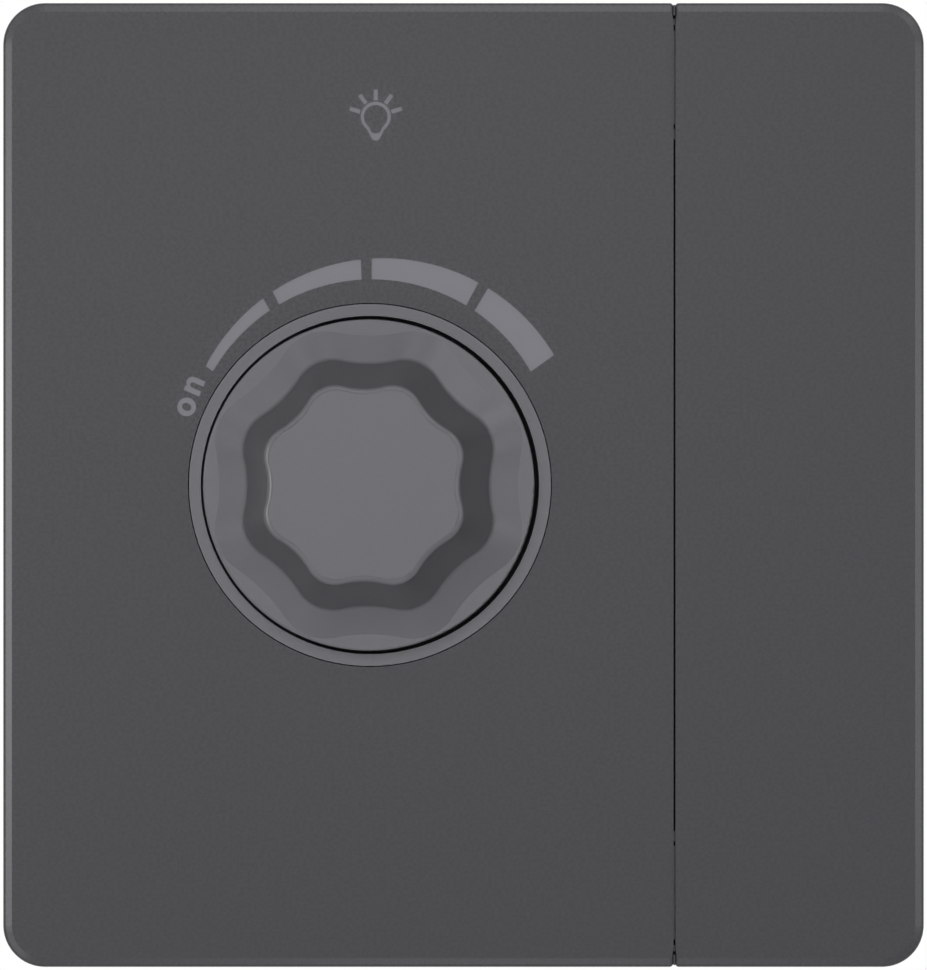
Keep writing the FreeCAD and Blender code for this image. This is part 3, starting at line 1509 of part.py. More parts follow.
def make_rocker_cap():
    """The side strip: a shell that tilts on the lever, with two clips for it."""
    body = new_body("rocker_shell")
    outline = [
        (rocker_left, -half_height, None),
        (half_width, -half_height, d.corner_radius),
        (half_width, half_height, d.corner_radius),
        (rocker_left, half_height, None),
    ]
    raised(body, "rocker_blank", (d.rocker_foot, d.face_height), [outline])
    round_outline(body, "rocker", half_width, rocker_left)
    inner_corner = d.corner_radius - d.skirt_wall
    inner_left, inner_right = rocker_left + d.skirt_wall, half_width - d.skirt_wall
    inner_top = half_height - d.skirt_wall
    inner = [
        (inner_left, -inner_top, None),
        (inner_right, -inner_top, inner_corner),
        (inner_right, inner_top, inner_corner),
        (inner_left, inner_top, None),
    ]
    sunk(body, "rocker_hollow", (d.rocker_foot, cover_back), [inner])
    strip = (rocker_left - d.skirt_wall, rocker_left + d.skirt_wall * 2)
    split_wall = rectangle(strip, (-half_height + d.skirt_wall, half_height - d.skirt_wall))
    sunk(body, "rocker_split_foot", (d.rocker_foot, d.split_wall_foot), [split_wall])
    reach = frame_opening_half - d.rocker_end_margin
    ends = [
        rectangle(strip, (reach, half_height - d.skirt_wall)),
        rectangle(strip, (-half_height + d.skirt_wall, -reach)),
    ]
    sunk(body, "rocker_rail_room", (d.split_wall_foot, cover_back), ends)
    clips = []
    left, right = lever_span()
    for span in (
        (left - d.slip_gap - d.lever_clip_wall, left - d.slip_gap),
        (right + d.slip_gap, right + d.slip_gap + d.lever_clip_wall),
    ):
        for side in (1, -1):
            near, far = d.lever_clip_near * side, d.lever_clip_far * side
            z = (near, far) if side > 0 else (far, near)
            clips.append(rectangle(span, z))
    raised(body, "lever_clips", (cover_back - d.lever_clip_depth, cover_back), clips)
    return piece("rocker_cap", body)


def lever_span():
    """Left and right sides of the rocker lever, between the lid's lugs."""
    left = rocker_lug_spans()[0][1] + d.rocker_side_gap
    right = rocker_lug_spans()[1][0] - d.rocker_side_gap
    return left, right


def make_rocker_lever():
    """The lever under the side strip: plate, barrel round the pin, and the switch finger."""
    left, right = lever_span()
    plate = block(
        "lever_plate",
        (left, right),
        (cover_back - d.lever_plate_thickness, cover_back),
        (-d.lever_half_length, d.lever_half_length),
    )
    pivot = d.rocker_pivot_height
    barrel = rod_across("lever_barrel", (left, right), pivot, ZERO, d.lever_barrel_radius)
    web = block(
        "lever_web",
        (left, right),
        (pivot, cover_back),
        (-d.lever_barrel_radius, d.lever_barrel_radius),
    )
    finger_x = (d.finger_left, d.finger_left + d.finger_width)
    finger = block(
        "lever_finger",
        finger_x,
        (d.finger_tip_height, pivot),
        (-d.finger_half_thickness, d.finger_half_thickness),
    )
    tip = rod_across("finger_tip", finger_x, d.finger_tip_height, ZERO, d.finger_tip_radius)
    bore = rod_across(
        "lever_bore", (left, right), pivot, ZERO, d.rocker_pin_radius + d.running_gap
    )
    lever = fuse("lever_solid", plate, barrel, web, finger, tip)
    piece("rocker_lever", cut("lever_bored", lever, bore))
    pin_span = (d.rocker_lug_left, lid_right)
    piece("rocker_pin", rod_across("pivot_pin", pin_span, pivot, ZERO, d.rocker_pin_radius))


def make_rocker_springs():
    """The two coil springs that bring the rocker back to the middle."""
    wire, radius = float(d.rocker_spring_wire), float(d.rocker_spring_radius)
    bottom = float(d.lid_front_height) + wire / 2 + float(d.part_gap)
    top = float(cover_back) - float(d.lever_plate_thickness) - wire / 2 - float(d.part_gap)
    left, right = lever_span()
    middle = (float(left) + float(right)) / 2
    springs = []
    for side in (1, -1):
        spring = coil(top - bottom, float(d.rocker_spring_turns), radius, wire)
        place = Vector(middle, -bottom, float(d.rocker_spring_z) * side)
        spring.Placement = FreeCAD.Placement(place, Rotation(Vector(1, 0, 0), 90))
        springs.append(spring)
    holder = DOC.addObject("Part::Feature", "rocker_coils")
    holder.Shape = Part.makeCompound(springs)
    piece("rocker_springs", holder)


def make_rocker_switch():
    """The see-saw switch in the wall box: fork, bridge contact, base and fixed contacts."""
    left, right = d.toggle_left, toggle_right
    pivot, hub = d.toggle_pivot_height, d.toggle_hub_radius
    barrel = rod_across("toggle_barrel", (left, right), pivot, ZERO, hub)
    slot = d.finger_tip_radius + d.toggle_fork_gap
    prongs = []
    for name, z in (
        ("prong_up", (slot, slot + d.toggle_fork_wall)),
        ("prong_down", (-slot - d.toggle_fork_wall, -slot)),
    ):
        prongs.append(block(name, (left, right), (pivot, d.finger_tip_height + d.fork_reach), z))
    arm_back = pivot - hub
    arm_front = arm_back + d.toggle_arm_thickness
    arm = block(
        "toggle_arm",
        (left, right),
        (arm_back, arm_front),
        (-d.toggle_arm_half_length, d.toggle_arm_half_length),
    )
    bore = rod_across("toggle_bore", (left, right), pivot, ZERO, d.toggle_pin_radius + d.running_gap)
    solid = fuse("toggle_solid", barrel, arm, *prongs)
    piece("switch_toggle", cut("toggle_bored", solid, bore))
    bridge_back = arm_back - d.bridge_thickness
    strip = block(
        "bridge_strip",
        (left + d.bridge_margin, right - d.bridge_margin),
        (bridge_back, arm_back),
        (-d.toggle_arm_half_length, d.toggle_arm_half_length),
    )
    middle = (left + right) / 2
    pads = []
    pad_span = (bridge_back - d.bridge_pad_thickness, bridge_back)
    for number, side in enumerate((1, -1), start=1):
        z = d.contact_z * side
        pads.append(rod_out(f"bridge_pad_{number}", middle, z, pad_span, d.bridge_pad_radius))
    piece("bridge_contact", fuse("bridge", strip, *pads))
    contact_top = pad_span[0] - d.contact_gap
    contact_back = contact_top - d.contact_thickness
    base_left, base_right = switch_base_left, switch_base_right
    half = d.switch_base_half_length
    floor = block(
        "switch_floor",
        (base_left, base_right),
        (contact_back - d.switch_base_floor, contact_back),
        (-half, half),
    )
    cheek_top = pivot + hub
    cheeks = []
    for number, span in enumerate(toggle_cheek_spans(left, right), start=1):
        cheeks.append(
            block(f"switch_cheek_{number}", span, (contact_back, cheek_top), (-hub, hub))
        )
    foot = block(
        "switch_foot",
        (base_left, base_right),
        (housing_floor, contact_back - d.switch_base_floor),
        (-d.switch_foot_half_length, d.switch_foot_half_length),
    )
    pin_hole = rod_across(
        "toggle_pin_hole", (base_left, base_right), pivot, ZERO, d.toggle_pin_radius + d.slip_gap / 2
    )
    base = fuse("switch_base_solid", floor, foot, *cheeks)
    piece("switch_base", cut("switch_base_bored", base, pin_hole))
    pin_span = (toggle_cheek_spans(left, right)[0][0], toggle_cheek_spans(left, right)[1][1])
    piece("toggle_pin", rod_across("toggle_pin_rod", pin_span, pivot, ZERO, d.toggle_pin_radius))
    contacts = []
    for number, side in enumerate((1, -1), start=1):
        near, far = d.contact_near * side, (half - d.part_gap) * side
        z = (near, far) if side > 0 else (far, near)
        contacts.append(
            block(
                f"fixed_contact_{number}",
                (left + d.bridge_margin, right - d.bridge_margin),
                (contact_back, contact_top),
                z,
            )
        )
    piece("fixed_contacts", group("fixed_contact_pair", *contacts))


def toggle_cheek_spans(left, right):
    gap = d.rocker_side_gap / 2
    return ((left - gap - d.switch_cheek, left - gap), (right + gap, right + gap + d.switch_cheek))


def check_and_write():
    """Stops on a failed object, then writes one STEP file for each sub-part."""
    DOC.recompute()
    for obj in DOC.Objects:
        if "Invalid" in obj.State or "Error" in obj.State:
            raise RuntimeError(f"{obj.Name} has failed: {obj.State}")
    for obj in PIECES:
        if obj.Shape.isNull() or not obj.Shape.isValid():
            raise RuntimeError(f"{obj.Label} has no valid shape")
    os.makedirs("parts", exist_ok=True)
    for obj in PIECES:
        obj.Shape.exportStep(f"parts/{obj.Label}.step")
        print(f"{obj.Label}: {len(obj.Shape.Solids)} solid(s), {obj.Shape.Volume:.1f} mm3")


make_front_cover()
make_knob_ring()
make_carrier_frame()
make_support_plate()
make_housing_lid()
make_rear_housing()
make_screws()
make_knob()
make_control_shaft()
make_knob_clip()
make_shaft_clip()
make_bush()
make_potentiometer()
make_circuit_board()
make_push_switch()
make_choke()
make_capacitors()
make_fuse()
make_triac()
make_control_chip()
make_terminals()
make_rocker_cap()
make_rocker_lever()
make_rocker_springs()
make_rocker_switch()
check_and_write()
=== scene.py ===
import json
import math

import bmesh
import bpy
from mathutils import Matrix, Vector


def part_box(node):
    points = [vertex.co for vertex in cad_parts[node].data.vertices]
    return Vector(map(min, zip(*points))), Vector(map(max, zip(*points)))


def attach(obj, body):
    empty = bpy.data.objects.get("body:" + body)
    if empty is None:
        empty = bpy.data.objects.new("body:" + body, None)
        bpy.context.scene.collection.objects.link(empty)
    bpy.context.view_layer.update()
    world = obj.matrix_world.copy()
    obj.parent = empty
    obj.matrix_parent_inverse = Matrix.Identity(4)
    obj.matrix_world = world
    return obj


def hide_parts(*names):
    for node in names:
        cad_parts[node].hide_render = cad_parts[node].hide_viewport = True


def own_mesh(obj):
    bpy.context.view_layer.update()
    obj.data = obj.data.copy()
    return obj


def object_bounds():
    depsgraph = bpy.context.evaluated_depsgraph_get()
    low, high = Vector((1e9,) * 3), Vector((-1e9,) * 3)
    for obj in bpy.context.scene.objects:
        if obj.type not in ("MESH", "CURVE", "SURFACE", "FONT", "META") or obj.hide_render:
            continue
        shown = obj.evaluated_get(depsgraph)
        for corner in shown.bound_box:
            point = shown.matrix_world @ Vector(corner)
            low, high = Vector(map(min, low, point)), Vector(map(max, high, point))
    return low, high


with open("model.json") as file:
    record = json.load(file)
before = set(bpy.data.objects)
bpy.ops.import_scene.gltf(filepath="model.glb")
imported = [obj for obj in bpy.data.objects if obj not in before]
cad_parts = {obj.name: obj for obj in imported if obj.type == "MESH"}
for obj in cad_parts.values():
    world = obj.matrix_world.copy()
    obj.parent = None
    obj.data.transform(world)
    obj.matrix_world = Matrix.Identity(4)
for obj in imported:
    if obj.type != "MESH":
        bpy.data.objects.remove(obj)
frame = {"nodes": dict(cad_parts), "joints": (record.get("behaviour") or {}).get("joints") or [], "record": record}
cad_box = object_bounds()

MM = 0.001

# Places taken from the frame: the knob's axis, the plate's face and the covers on either side of the gap
joints = {joint["name"]: joint for joint in frame["joints"]}
knob_axis = Vector(joints["knob_turn"]["pos_m"])
cover_low, cover_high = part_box("front_cover")
rocker_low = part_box("rocker_cap")[0]
face_y = cover_low.y


def put_object(name, data):
    """A new object in the scene."""
    obj = bpy.data.objects.new(name, data)
    bpy.context.scene.collection.objects.link(obj)
    return obj


# Nodes that the materials share

NOISE_RANGE = (0.3, 0.7)
WHITE = (1, 1, 1, 1)


def new_material(name):
    """A node material with its node tree and a principled shader that is linked to the output."""
    material = bpy.data.materials.new(name)
    material.use_nodes = True
    tree = material.node_tree
    tree.nodes.clear()
    output = add(tree, "ShaderNodeOutputMaterial")
    shader = add(tree, "ShaderNodeBsdfPrincipled")
    link(tree, shader.outputs["BSDF"], output.inputs["Surface"])
    return material, tree, shader


def add(tree, kind, **settings):
    """A new node, with inputs set by name and properties by attribute."""
    node = tree.nodes.new(kind)
    for key, value in settings.items():
        name = key.replace("_", " ")
        if name in node.inputs:
            node.inputs[name].default_value = value
        else:
            setattr(node, key, value)
    return node


def link(tree, source, target):
    """Joins an output socket to an input socket."""
    tree.links.new(source, target)


def speckle(tree, size, detail=3.0, roughness=0.6, stretch=(1, 1, 1)):
    """Noise over the object's own coordinates, with its pattern size in metres."""
    coords = add(tree, "ShaderNodeTexCoord")
    mapping = add(tree, "ShaderNodeMapping", Scale=stretch)
    noise = add(tree, "ShaderNodeTexNoise", Scale=1.0 / size, Detail=detail, Roughness=roughness)
    link(tree, coords.outputs["Object"], mapping.inputs["Vector"])
    link(tree, mapping.outputs["Vector"], noise.inputs["Vector"])
    return noise.outputs["Fac"]


def spread(tree, source, results, values=NOISE_RANGE):
    """Maps a range of values, by default the middle of a noise, smoothly to a range of results."""
    ramp = add(tree, "ShaderNodeMapRange", interpolation_type="SMOOTHSTEP")
    for socket, limit in zip(("From Min", "From Max", "To Min", "To Max"), (*values, *results)):
        ramp.inputs[socket].default_value = limit
    link(tree, source, ramp.inputs["Value"])
    return ramp.outputs["Result"]


def shade_of(colour, factor):
    """A colour made darker or lighter by a factor, with full alpha."""
    return tuple(min(1.0, channel * factor) for channel in colour) + (1.0,)


def varied_colour(tree, source, colour, swing):
    """A colour that drifts a little darker and lighter with a noise."""
    mix = add(tree, "ShaderNodeMix", data_type="RGBA")
    mix.inputs["A"].default_value = shade_of(colour, 1 - swing)
    mix.inputs["B"].default_value = shade_of(colour, 1 + swing)
    link(tree, spread(tree, source, (0.0, 1.0)), mix.inputs["Factor"])
    return mix.outputs["Result"]


def bumped(tree, shader, source, height):
    """Gives a shader the relief of a noise, with its height in metres."""
    bump = add(tree, "ShaderNodeBump", Strength=1.0, Distance=height)
    link(tree, source, bump.inputs["Height"])
    link(tree, bump.outputs["Normal"], shader.inputs["Normal"])


# Materials

COVER_GREY = (0.051, 0.051, 0.0585)
KNOB_GREY = (0.146, 0.145, 0.16)
PRINT_GREY = (0.208, 0.208, 0.233)
FRAME_GREY = (0.034, 0.034, 0.036)
HOUSING_BLACK = (0.012, 0.012, 0.013)


def moulded(name, colour, rough=(0.42, 0.5), grain=0.25 * MM, grain_height=0.004 * MM, swing=0.02, gloss=0.5):
    """Injection-moulded plastic: a fine spark-eroded grain in height, colour and roughness."""
    material, tree, shader = new_material(name)
    shader.inputs["Specular IOR Level"].default_value = gloss
    fine = speckle(tree, grain, detail=2.0)
    link(tree, varied_colour(tree, fine, colour, swing), shader.inputs["Base Color"])
    link(tree, spread(tree, fine, rough), shader.inputs["Roughness"])
    bumped(tree, shader, fine, grain_height)
    return material


def metal(name, colour, rough=(0.25, 0.4), grain=0.15 * MM, grain_height=0.003 * MM, stretch=(1, 1, 1),
          swing=0.06):
    """Plated or turned metal with fine marks, which a stretch below 1 makes longer along that axis."""
    material, tree, shader = new_material(name)
    shader.inputs["Metallic"].default_value = 1.0
    marks = speckle(tree, grain, detail=4.0, roughness=0.5, stretch=stretch)
    link(tree, varied_colour(tree, marks, colour, swing), shader.inputs["Base Color"])
    link(tree, spread(tree, marks, rough), shader.inputs["Roughness"])
    bumped(tree, shader, marks, grain_height)
    return material


def clear_glass(name, colour, rough, cloud, swing=0.03, clearness=0.9, refraction=1.5):
    """Clear glass whose roughness and tint drift a little."""
    material, tree, shader = new_material(name)
    shader.inputs["Transmission Weight"].default_value = clearness
    shader.inputs["IOR"].default_value = refraction
    drift = speckle(tree, cloud)
    link(tree, spread(tree, drift, rough), shader.inputs["Roughness"])
    link(tree, varied_colour(tree, drift, colour, swing), shader.inputs["Base Color"])
    return material


MATERIALS = {
    "cover_plastic": moulded(
        "cover_plastic", COVER_GREY, rough=(0.26, 0.29), grain_height=0.002 * MM, swing=0.012, gloss=0.4
    ),
    "knob_plastic": moulded("knob_plastic", KNOB_GREY, rough=(0.29, 0.32), gloss=0.42),
    "frame_plastic": moulded("frame_plastic", FRAME_GREY, rough=(0.5, 0.6)),
    "housing_plastic": moulded("housing_plastic", HOUSING_BLACK, rough=(0.45, 0.6)),
    "switch_plastic": moulded("switch_plastic", (0.62, 0.6, 0.54)),
    "plated_steel": metal(
        "plated_steel", (0.6, 0.61, 0.63), rough=(0.33, 0.37), grain_height=0.0001 * MM, stretch=(1, 1, 0.1)
    ),
    "bright_steel": metal("bright_steel", (0.66, 0.66, 0.67), rough=(0.18, 0.3)),
    "brass": metal("brass", (0.72, 0.5, 0.2)),
    "board_laminate": moulded("board_laminate", (0.02, 0.13, 0.05), rough=(0.25, 0.35)),
    "carbon": moulded("carbon", (0.03, 0.028, 0.026)),
    "core_powder": moulded("core_powder", (0.4, 0.34, 0.06)),
    "copper": metal("copper", (0.75, 0.3, 0.14)),
    "film_case": moulded("film_case", (0.6, 0.4, 0.05), rough=(0.25, 0.35)),
    "can_aluminium": metal("can_aluminium", (0.75, 0.75, 0.76)),
    "heat_sink_aluminium": metal("heat_sink_aluminium", (0.78, 0.78, 0.79)),
    "epoxy": moulded("epoxy", (0.015, 0.015, 0.016)),
    "fuse_glass": clear_glass("fuse_glass", (0.9, 0.93, 0.93), rough=(0.03, 0.08), cloud=2 * MM),
    "print": moulded("print", PRINT_GREY, rough=(0.4, 0.5), grain=0.12 * MM, grain_height=0.002 * MM),
}


def dress_cad_nodes():
    """Gives every CAD node the material of its slot."""
    slots = {part["node"]: part["material_slot"] for part in frame["record"]["subparts"]}
    for name, obj in frame["nodes"].items():
        material = MATERIALS[slots[name]]
        if not obj.data.materials:
            obj.data.materials.append(material)
        for index in range(len(obj.data.materials)):
            obj.data.materials[index] = material


# Printed marks, laid on the cover's face in thin slabs

PRINT_THICKNESS = 0.012 * MM
MERGE_DISTANCE = 1e-7


def flat_slab(name, outlines):
    """A slab as thick as the print, from closed outlines of flat points; one inside another is a hole."""
    curve = bpy.data.curves.new(name, "CURVE")
    curve.dimensions = "2D"
    curve.fill_mode = "BOTH"
    curve.extrude = PRINT_THICKNESS / 2
    for points in outlines:
        spline = curve.splines.new("POLY")
        spline.points.add(len(points) - 1)
        for point, (x, z) in zip(spline.points, points):
            point.co = (x, z, 0, 1)
        spline.use_cyclic_u = True
    holder = put_object(f"{name}_outline", curve)
    bpy.context.view_layer.update()
    mesh = bpy.data.meshes.new_from_object(holder)
    bpy.data.objects.remove(holder)
    return mesh


def print_mark(name, *outlines):
    """A printed mark that lies on the cover's face, from closed outlines of (x, z) points."""
    mesh = flat_slab(name, outlines)
    for vertex in mesh.vertices:
        x, z, y = vertex.co
        vertex.co = Vector((x, face_y - PRINT_THICKNESS / 2 - y, z))
    cleaned = bmesh.new()
    cleaned.from_mesh(mesh)
    bmesh.ops.remove_doubles(cleaned, verts=cleaned.verts, dist=MERGE_DISTANCE)
    bmesh.ops.recalc_face_normals(cleaned, faces=cleaned.faces)
    cleaned.to_mesh(mesh)
    cleaned.free()
    mesh.materials.append(MATERIALS["print"])
    piece = put_object(name, mesh)
    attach(piece, "insert")


def ellipse_points(half_width, half_height, start=0, end=360, steps=48):
    """Points on an ellipse between two angles in degrees; a full one leaves out its last point."""
    count = steps if end - start == 360 else steps + 1
    points = []
    for step in range(count):
        angle = math.radians(start + (end - start) * step / steps)
        points.append((half_width * math.cos(angle), half_height * math.sin(angle)))
    return points


def curve_points(start, *controls, steps=16):
    """Points along a chain of cubics, without its start. Each cubic has two handles and its end."""
    points = []
    a = Vector(start)
    for b, c, e in zip(controls[0::3], controls[1::3], controls[2::3]):
        for step in range(1, steps + 1):
            t = step / steps
            s = 1 - t
            point = a * s**3 + Vector(b) * (3 * s**2 * t) + Vector(c) * (3 * s * t**2) + Vector(e) * t**3
            points.append(tuple(point))
        a = Vector(e)
    return points


def placed(points, origin, turn=0.0):
    """Points turned by an angle in degrees and moved to an origin on the face."""
    cos, sin = math.cos(math.radians(turn)), math.sin(math.radians(turn))
    return [(origin[0] + x * cos - z * sin, origin[1] + x * sin + z * cos) for x, z in points]


# The dimming scale: four segments that grow wider clockwise, between two circles that aren't concentric

SCALE_INNER_CENTRE = (-6.56 * MM, 1.62 * MM)
SCALE_INNER_RADIUS = 13.10 * MM
SCALE_OUTER_CENTRE = (-5.76 * MM, 1.93 * MM)
SCALE_OUTER_RADIUS = 14.29 * MM

# Angles round the knob at which each segment starts and ends, in degrees
SCALE_SEGMENTS = ((144.1, 119.8), (116.7, 92.3), (89.5, 61.8), (59.0, 35.2))


def circle_cut(centre, radius, angle):
    """Where a ray from the knob's axis at an angle in degrees meets a circle round a nearby centre."""
    course = Vector((math.cos(math.radians(angle)), math.sin(math.radians(angle))))
    axis = Vector((knob_axis.x, knob_axis.z))
    back = axis - Vector(centre)
    along = back.dot(course)
    reach = -along + math.sqrt(along**2 - back.length_squared + radius**2)
    return tuple(axis + course * reach)


def scale_marks(steps=40):
    """The segments of the scale, each between two angles round the knob."""
    for number, (start, end) in enumerate(SCALE_SEGMENTS, start=1):
        angles = [start + (end - start) * step / steps for step in range(steps + 1)]
        outer = [circle_cut(SCALE_OUTER_CENTRE, SCALE_OUTER_RADIUS, angle) for angle in angles]
        inner = [circle_cut(SCALE_INNER_CENTRE, SCALE_INNER_RADIUS, angle) for angle in angles]
        print_mark(f"print_scale_{number}", outer + inner[::-1])


# The word, set along the scale with its baseline towards the knob

WORD_TURN = 66.0

O_CENTRE = (-19.81 * MM, 5.59 * MM)
O_RADIUS = 0.668 * MM
O_COUNTER_HALF_WIDTH = 0.28 * MM
O_COUNTER_HALF_HEIGHT = 0.345 * MM

N_FOOT = (-18.93 * MM, 6.33 * MM)
N_WIDTH = 1.153 * MM
N_STEM = 0.39 * MM
N_HEIGHT = 1.21 * MM
N_ARCH_TOP = 1.266 * MM
N_ARCH_SPRING = 0.76 * MM
N_ARCH_SHIFT = 0.05 * MM
N_COUNTER_TOP = 0.94 * MM
N_COUNTER_SPRING = 0.7 * MM
N_COUNTER_SHIFT = 0.02 * MM
N_STEM_TOP_WIDTH = 0.335 * MM
N_NOTCH_DEPTH = 0.13 * MM
N_NOTCH_INSET = 0.02 * MM

# Handles of the curves in the n: upwards from where an arch springs, and sideways towards its crown
N_COUNTER_RISES = (0.14 * MM, 0.12 * MM)
N_COUNTER_CROWN_HANDLE = 0.11 * MM
N_COUNTER_CORNER_INSET = 0.07 * MM
N_ARCH_RISE = 0.3 * MM
N_ARCH_CROWN_HANDLES = (0.25 * MM, 0.17 * MM)
N_NOTCH_HANDLE = (0.03 * MM, 0.04 * MM)


def n_outline():
    """The letter n round its left foot: the counter between its legs, then the arch back to the stem."""
    right_in = N_WIDTH - N_STEM
    counter_crown = (N_STEM + right_in) / 2 + N_COUNTER_SHIFT
    arch_crown = (N_STEM + N_WIDTH) / 2 - N_ARCH_SHIFT
    counter = curve_points(
        (N_STEM, N_COUNTER_SPRING),
        (N_STEM, N_COUNTER_SPRING + N_COUNTER_RISES[0]),
        (counter_crown - N_COUNTER_CROWN_HANDLE, N_COUNTER_TOP),
        (counter_crown, N_COUNTER_TOP),
        (right_in - N_COUNTER_CORNER_INSET, N_COUNTER_TOP),
        (right_in, N_COUNTER_SPRING + N_COUNTER_RISES[1]),
        (right_in, N_COUNTER_SPRING),
    )
    arch = curve_points(
        (N_WIDTH, N_ARCH_SPRING),
        (N_WIDTH, N_ARCH_SPRING + N_ARCH_RISE),
        (arch_crown + N_ARCH_CROWN_HANDLES[0], N_ARCH_TOP),
        (arch_crown, N_ARCH_TOP),
        (arch_crown - N_ARCH_CROWN_HANDLES[1], N_ARCH_TOP),
        (N_STEM + N_NOTCH_HANDLE[0], N_HEIGHT - N_NOTCH_HANDLE[1]),
        (N_STEM - N_NOTCH_INSET, N_HEIGHT - N_NOTCH_DEPTH),
    )
    return [
        (0, 0),
        (N_STEM, 0),
        (N_STEM, N_COUNTER_SPRING),
        *counter,
        (right_in, 0),
        (N_WIDTH, 0),
        (N_WIDTH, N_ARCH_SPRING),
        *arch,
        (N_STEM_TOP_WIDTH, N_HEIGHT),
        (0, N_HEIGHT),
    ]


def word_marks():
    """The two letters beside the start of the scale."""
    outer = ellipse_points(O_RADIUS, O_RADIUS)
    counter = ellipse_points(O_COUNTER_HALF_WIDTH, O_COUNTER_HALF_HEIGHT)
    print_mark("print_o", placed(outer, O_CENTRE, WORD_TURN), placed(counter, O_CENTRE, WORD_TURN))
    print_mark("print_n", placed(n_outline(), N_FOOT, WORD_TURN))


# The lamp symbol over the knob

LAMP_CENTRE = (-6.28 * MM, 26.35 * MM)
LAMP_RADIUS = 1.077 * MM
LAMP_STROKE = 0.232 * MM
LAMP_RAY_NEAR = 1.178 * MM
LAMP_RAY_FAR = 1.95 * MM
LAMP_RAY_WIDTH = 0.29 * MM
AXIS_TOLERANCE = 1e-9

# Angle of each ray from upright, in degrees
LAMP_RAY_ANGLES = (-72.5, -36.2, 0.0, 36.2, 72.5)

# Right half of the lamp's neck, outside and inside its stroke: the angle at which the globe runs into it, the
# first handle from there, and the further controls of its curves down to the tip
LAMP_NECK_ANGLE = -40.0
LAMP_OUTER_LEAVE = (-0.13 * MM, -0.155 * MM)
LAMP_OUTER_NECK = (
    (0.6 * MM, -0.93 * MM), (0.54 * MM, -1.06 * MM),
    (0.45 * MM, -1.25 * MM), (0.38 * MM, -1.38 * MM), (0.3 * MM, -1.52 * MM),
    (0.22 * MM, -1.66 * MM), (0.1 * MM, -1.703 * MM), (0, -1.703 * MM),
)
LAMP_INNER_LEAVE = (-0.1 * MM, -0.12 * MM)
LAMP_INNER_NECK = (
    (0.43 * MM, -0.8 * MM), (0.385 * MM, -0.91 * MM),
    (0.32 * MM, -1.1 * MM), (0.26 * MM, -1.19 * MM), (0, -1.193 * MM),
)


def mirrored(points):
    """The points, then their mirror image in the upright axis, to close an outline."""
    return points + [(-x, z) for x, z in reversed(points) if x > AXIS_TOLERANCE]


def lamp_outline(radius, leave, neck):
    """An outline of the lamp: a round globe that runs into a neck with a rounded tip."""
    globe = ellipse_points(radius, radius, start=90, end=LAMP_NECK_ANGLE, steps=36)
    x, z = globe[-1]
    half = globe + curve_points((x, z), (x + leave[0], z + leave[1]), *neck)
    return placed(mirrored(half), LAMP_CENTRE)


def lamp_marks():
    """The lamp as a ring of even stroke, and the rays round its globe."""
    outer = lamp_outline(LAMP_RADIUS, LAMP_OUTER_LEAVE, LAMP_OUTER_NECK)
    inner = lamp_outline(LAMP_RADIUS - LAMP_STROKE, LAMP_INNER_LEAVE, LAMP_INNER_NECK)
    print_mark("print_lamp", outer, inner)
    half = LAMP_RAY_WIDTH / 2
    ray = [(-half, LAMP_RAY_NEAR), (half, LAMP_RAY_NEAR), (half, LAMP_RAY_FAR), (-half, LAMP_RAY_FAR)]
    for number, angle in enumerate(LAMP_RAY_ANGLES, start=1):
        print_mark(f"print_ray_{number}", placed(ray, LAMP_CENTRE, -angle))


# Fins of the carrier frame that fill the gap between the covers, above and below the middle alike

FIN_SIDE_GAP = 0.01 * MM
FIN_DEPTH = 0.22 * MM
FIN_FOOT = 6.3 * MM

# Height over the middle at which each length of fin starts and ends
FIN_SPANS = (
    (24.78 * MM, 25.53 * MM),
    (25.84 * MM, 32.56 * MM),
    (32.96 * MM, 33.41 * MM),
    (33.65 * MM, 34.4 * MM),
)


def gap_fins():
    """Thin upright fins in the gap, in short lengths with notches between them."""
    sides = (cover_high.x + FIN_SIDE_GAP, rocker_low.x - FIN_SIDE_GAP)
    depths = (face_y + FIN_DEPTH, -FIN_FOOT)
    shape = bmesh.new()
    for span in FIN_SPANS:
        for way in (1, -1):
            corners = [shape.verts.new((x, y, way * z)) for x in sides for y in depths for z in span]
            bmesh.ops.convex_hull(shape, input=corners)
    bmesh.ops.recalc_face_normals(shape, faces=shape.faces)
    mesh = bpy.data.meshes.new("gap_fins")
    shape.to_mesh(mesh)
    shape.free()
    mesh.materials.append(MATERIALS["frame_plastic"])
    fins = put_object("gap_fins", mesh)
    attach(fins, "insert")


# Springs copied from the CAD nodes, riding on the insert


def pressed_spring(node):
    """A copy of a CAD spring that takes its place on the insert, with the CAD node hidden."""
    coil = frame["nodes"][node]
    spring = put_object(f"{node}_pressed", coil.data.copy())
    spring.matrix_world = coil.matrix_world
    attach(spring, "insert")
    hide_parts(node)
    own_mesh(spring)


# Studio: a camera in front, a white background, a pale floor and softboxes

CAMERA_DISTANCE = 206 * MM
CAMERA_NEAR = 10 * MM
CAMERA_FAR = 10

# Focal length and width of the sensor, both in Blender's millimetres
CAMERA_LENS = 101.65
CAMERA_SENSOR = 36

FLOOR_SIZE = 3.0
FLOOR_SEGMENTS = 8
FLOOR_DROP = 300 * MM
FLOOR_COLOUR = (0.86, 0.86, 0.86)
FLOOR_SWING = 0.01
FLOOR_CLOUD = 60 * MM
FLOOR_ROUGHNESS = 0.9

# Share of plain white in the floor as it is seen, between two distances from its middle
FLOOR_WHITE = (0.9, 1.0)
FLOOR_FADE = (0.5, 1.4)

